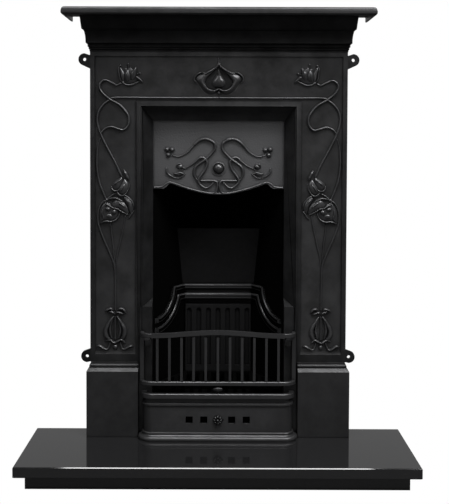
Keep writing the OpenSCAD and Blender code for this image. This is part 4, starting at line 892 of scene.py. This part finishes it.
class FIREPLACE_OT_stems(bpy.types.Operator):
    """Raise the stems on the pilasters and along the frieze"""
    bl_idname = "fireplace.stems"
    bl_label = "Pilaster stems"

    def execute(self, context):
        panel_relief("pilaster_stems", ridges(STEMS, PANEL_DEPTH))
        return {"FINISHED"}


class FIREPLACE_OT_tulips(bpy.types.Operator):
    """Raise the tulip at the top of each pilaster"""
    bl_idname = "fireplace.tulips"
    bl_label = "Tulips"

    def execute(self, context):
        shells = [blister(TULIP_CUP, TULIP_RISE, PANEL_DEPTH, crown=0.6)]
        shells += blisters(TULIP_PETALS, PANEL_DEPTH)
        shells += ridges(TULIP_RIDGES, PANEL_DEPTH)
        shells += [dome(middle, r, r, high, PANEL_DEPTH) for middle, r, high in TULIP_DOTS]
        panel_relief("tulips", shells)
        return {"FINISHED"}


class FIREPLACE_OT_blooms(bpy.types.Operator):
    """Raise the buds and the bloom half way down each pilaster"""
    bl_idname = "fireplace.blooms"
    bl_label = "Buds and blooms"

    def execute(self, context):
        shells = blisters(BUDS, PANEL_DEPTH) + [blister(BLOOM, BLOOM_RISE, PANEL_DEPTH, crown=0.55)]
        shells += ridges(CLUSTER_RIDGES, PANEL_DEPTH) + domes(CLUSTER_DOMES, PANEL_DEPTH)
        panel_relief("buds_and_blooms", shells)
        return {"FINISHED"}


class FIREPLACE_OT_roots(bpy.types.Operator):
    """Raise the bow, bulb and root at the foot of each pilaster"""
    bl_idname = "fireplace.roots"
    bl_label = "Bulbs and roots"

    def execute(self, context):
        panel_relief("bulbs_and_roots", ridges(ROOT_RIDGES, PANEL_DEPTH) + domes(ROOT_DOMES, PANEL_DEPTH))
        return {"FINISHED"}


class FIREPLACE_OT_heart(bpy.types.Operator):
    """Raise the heart-shaped motif in the middle of the frieze"""
    bl_idname = "fireplace.heart"
    bl_label = "Frieze motif"

    def execute(self, context):
        heart = band(mirrored(HEART), mirrored(HEART_HOLLOW), HEART_RISE, PANEL_DEPTH, lean=0.72, across=13)
        seed = blister(mirrored(SEED), SEED_RISE, PANEL_DEPTH, crown=0.6, centre=SEED_TOP)
        # painted shade: a thin dark sheet over the heart's hollow
        floor = blister(mirrored(HEART_HOLLOW), HOLLOW_RISE, PANEL_DEPTH, crown=0.2)
        shells = [seed] + domes(DROP, PANEL_DEPTH) + both_sides(ridges(HEART_RIDGES, PANEL_DEPTH))
        piece("frieze_motif", shells, iron("rubbed iron"), "front_casting", looped=[heart])
        piece("frieze_hollow", [floor], iron("cornice iron"), "front_casting")
        return {"FINISHED"}


class FIREPLACE_OT_canopy_relief(bpy.types.Operator):
    """Raise the interlaced stems, lilies and berries of the canopy, and its boss, ring and lower bead"""
    bl_idname = "fireplace.canopy_relief"
    bl_label = "Canopy relief"

    def execute(self, context):
        shells = ridges(CANOPY_STEMS, CANOPY_DEPTH) + domes(CANOPY_DOMES, CANOPY_DEPTH)
        edge = mirrored(CANOPY_EDGE, closed=False)
        bead = stem(edge, (EDGE_WIDE, EDGE_WIDE), (EDGE_RISE, EDGE_RISE), CANOPY_DEPTH, ends=(0.004, 0.004))
        ball = dome((0, BOSS_MIDDLE), BOSS_RADIUS, BOSS_RADIUS, BOSS_RISE, CANOPY_DEPTH, rings=20, around=64)
        turn = np.linspace(0, 2 * np.pi, 96, endpoint=False)
        circle = np.stack([RING_RADIUS * np.cos(turn), BOSS_MIDDLE + RING_RADIUS * np.sin(turn)], axis=1)
        ring = rib(circle, np.full(96, RING_WIDE), np.full(96, RING_RISE), CANOPY_DEPTH, closed=True)
        shells = both_sides(shells) + [bead, ball]
        piece("canopy_relief", shells, iron("rubbed iron"), "canopy", looped=[ring])
        return {"FINISHED"}


class FIREPLACE_OT_stage(bpy.types.Operator):
    """Set the pale floor, the soft lights and the camera"""
    bl_idname = "fireplace.stage"
    bl_label = "Stage"

    def execute(self, context):
        s = context.scene.fireplace_stage
        self.floor(s)
        self.lights(s)
        self.camera(context, s)
        return {"FINISHED"}

    def floor(self, s):
        reach = 14.0
        mesh = bpy.data.meshes.new("studio_floor")
        mesh.from_pydata([(-reach, -reach, 0), (reach, -reach, 0), (reach, reach, 0), (-reach, reach, 0)], [],
                         [(0, 1, 2, 3)])
        made, tree, shader, place = new_material("studio floor")
        paper = add(tree, "ShaderNodeTexNoise", {"Vector": place, "Scale": 60.0, "Detail": 3.0})
        tree.links.new(mixed(tree, paper.outputs["Fac"], (0.07, 0.07, 0.07), (0.09, 0.09, 0.09)),
                       shader.inputs["Base Color"])
        shader.inputs["Roughness"].default_value = 0.8
        # lit from within where the camera sees it, so that it meets the backdrop without an edge
        seen = add(tree, "ShaderNodeLightPath").outputs["Is Camera Ray"]
        glow = add(tree, "ShaderNodeEmission", {"Color": (1, 1, 1, 1), "Strength": s.backdrop})
        both = add(tree, "ShaderNodeMixShader", {0: seen, 1: shader.outputs[0], 2: glow.outputs[0]})
        surface = next(n for n in tree.nodes if n.type == "OUTPUT_MATERIAL")
        tree.links.new(both.outputs[0], surface.inputs["Surface"])
        mesh.materials.append(made)
        floor = bpy.data.objects.new("studio_floor", mesh)
        bpy.context.scene.collection.objects.link(floor)

    def lights(self, s):
        # name, place, aimed at, size across and up, power in watts
        boxes = (
            ("key", (1.7, -1.5, 3.0), (0.0, 0.0, 0.6), (1.4, 1.0), 85.0),
            ("fill", (-2.0, -1.8, 2.6), (0.0, 0.0, 0.6), (1.2, 1.2), 16.0),
            ("top", (0.0, -1.15, 3.2), (0.0, 0.0, 0.8), (1.8, 0.8), 85.0),
            ("front", (0.1, -2.7, 1.4), (0.0, 0.0, 0.9), (1.2, 1.0), 4.0),
        )
        for name, place, aim, size, power in boxes:
            light = bpy.data.lights.new(name, "AREA")
            light.shape = "RECTANGLE"
            light.size, light.size_y = size
            light.energy = power
            lamp = bpy.data.objects.new(name, light)
            lamp.location = place
            back = np.array(place) - np.array(aim)
            lamp.rotation_euler = (math.acos(back[2] / np.linalg.norm(back)), 0.0,
                                   math.atan2(back[0], -back[1]))
            bpy.context.scene.collection.objects.link(lamp)
        world = bpy.data.worlds.new("studio")
        bpy.context.scene.world = world
        world.use_nodes = True
        tree = world.node_tree
        tree.nodes.clear()
        seen = add(tree, "ShaderNodeLightPath").outputs["Is Camera Ray"]
        # the room in front is dim, and the backdrop behind lights the polished hearth
        facing = add(tree, "ShaderNodeTexCoord").outputs["Generated"]
        way = add(tree, "ShaderNodeSeparateXYZ", {"Vector": facing})
        behind = worked(tree, "MULTIPLY", spread(tree, way.outputs["Y"], -0.1, 0.3, 0.0, 1.0),
                        spread(tree, way.outputs["Z"], -0.02, 0.06, 0.0, 1.0))
        even_light = add(tree, "ShaderNodeBackground", {
            "Color": (1, 1, 1, 1), "Strength": spread(tree, behind, 0.0, 1.0, s.ambient, s.glow)})
        backdrop = add(tree, "ShaderNodeBackground", {"Color": (1, 1, 1, 1), "Strength": s.backdrop})
        mix = add(tree, "ShaderNodeMixShader", {0: seen, 1: even_light.outputs[0], 2: backdrop.outputs[0]})
        add(tree, "ShaderNodeOutputWorld", {"Surface": mix.outputs[0]})

    def camera(self, context, s):
        lens = bpy.data.cameras.new("camera")
        lens.lens = s.lens
        lens.sensor_width = 36.0
        lens.shift_x, lens.shift_y = s.shift_x, s.shift_y
        lens.clip_end = 100.0
        camera = bpy.data.objects.new("camera", lens)
        context.scene.collection.objects.link(camera)
        camera.matrix_world = (
            Matrix.Translation((0.0, WALL - s.distance, HEARTH + s.height))
            @ Matrix.Rotation(math.pi / 2 - s.pitch, 4, "X")
            @ Matrix.Rotation(s.roll, 4, "Z"))
        context.scene.camera = camera
        context.scene.view_settings.view_transform = "Standard"


class FIREPLACE_PT_panel(bpy.types.Panel):
    """The steps of the fireplace and its settings"""
    bl_idname = "FIREPLACE_PT_panel"
    bl_label = "Cast iron fireplace"
    bl_space_type = "VIEW_3D"
    bl_region_type = "UI"
    bl_category = "Fireplace"

    def draw(self, context):
        for step in STEPS:
            self.layout.operator(step.bl_idname)
        for name, settings in SETTINGS.items():
            box = self.layout.box()
            for key in settings.__annotations__:
                box.prop(getattr(context.scene, name), key)


SETTINGS = {
    "fireplace_iron": IronSettings,
    "fireplace_granite": GraniteSettings,
    "fireplace_relief": ReliefSettings,
    "fireplace_stage": StageSettings,
}
STEPS = (
    FIREPLACE_OT_stage, FIREPLACE_OT_hearth, FIREPLACE_OT_castings, FIREPLACE_OT_firebox,
    FIREPLACE_OT_fittings, FIREPLACE_OT_rosette, FIREPLACE_OT_stems, FIREPLACE_OT_tulips,
    FIREPLACE_OT_blooms, FIREPLACE_OT_roots, FIREPLACE_OT_heart, FIREPLACE_OT_canopy_relief)


def register():
    for name, settings in SETTINGS.items():
        bpy.utils.register_class(settings)
        setattr(bpy.types.Scene, name, PointerProperty(type=settings))
    for step in (*STEPS, FIREPLACE_PT_panel):
        bpy.utils.register_class(step)


def unregister():
    for step in reversed((*STEPS, FIREPLACE_PT_panel)):
        bpy.utils.unregister_class(step)
    for name, settings in reversed(SETTINGS.items()):
        delattr(bpy.types.Scene, name)
        bpy.utils.unregister_class(settings)


def main():
    """Registers the add-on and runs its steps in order."""
    register()
    for step in STEPS:
        family, name = step.bl_idname.split(".")
        getattr(getattr(bpy.ops, family), name)()


if __name__ == "__main__":
    main()
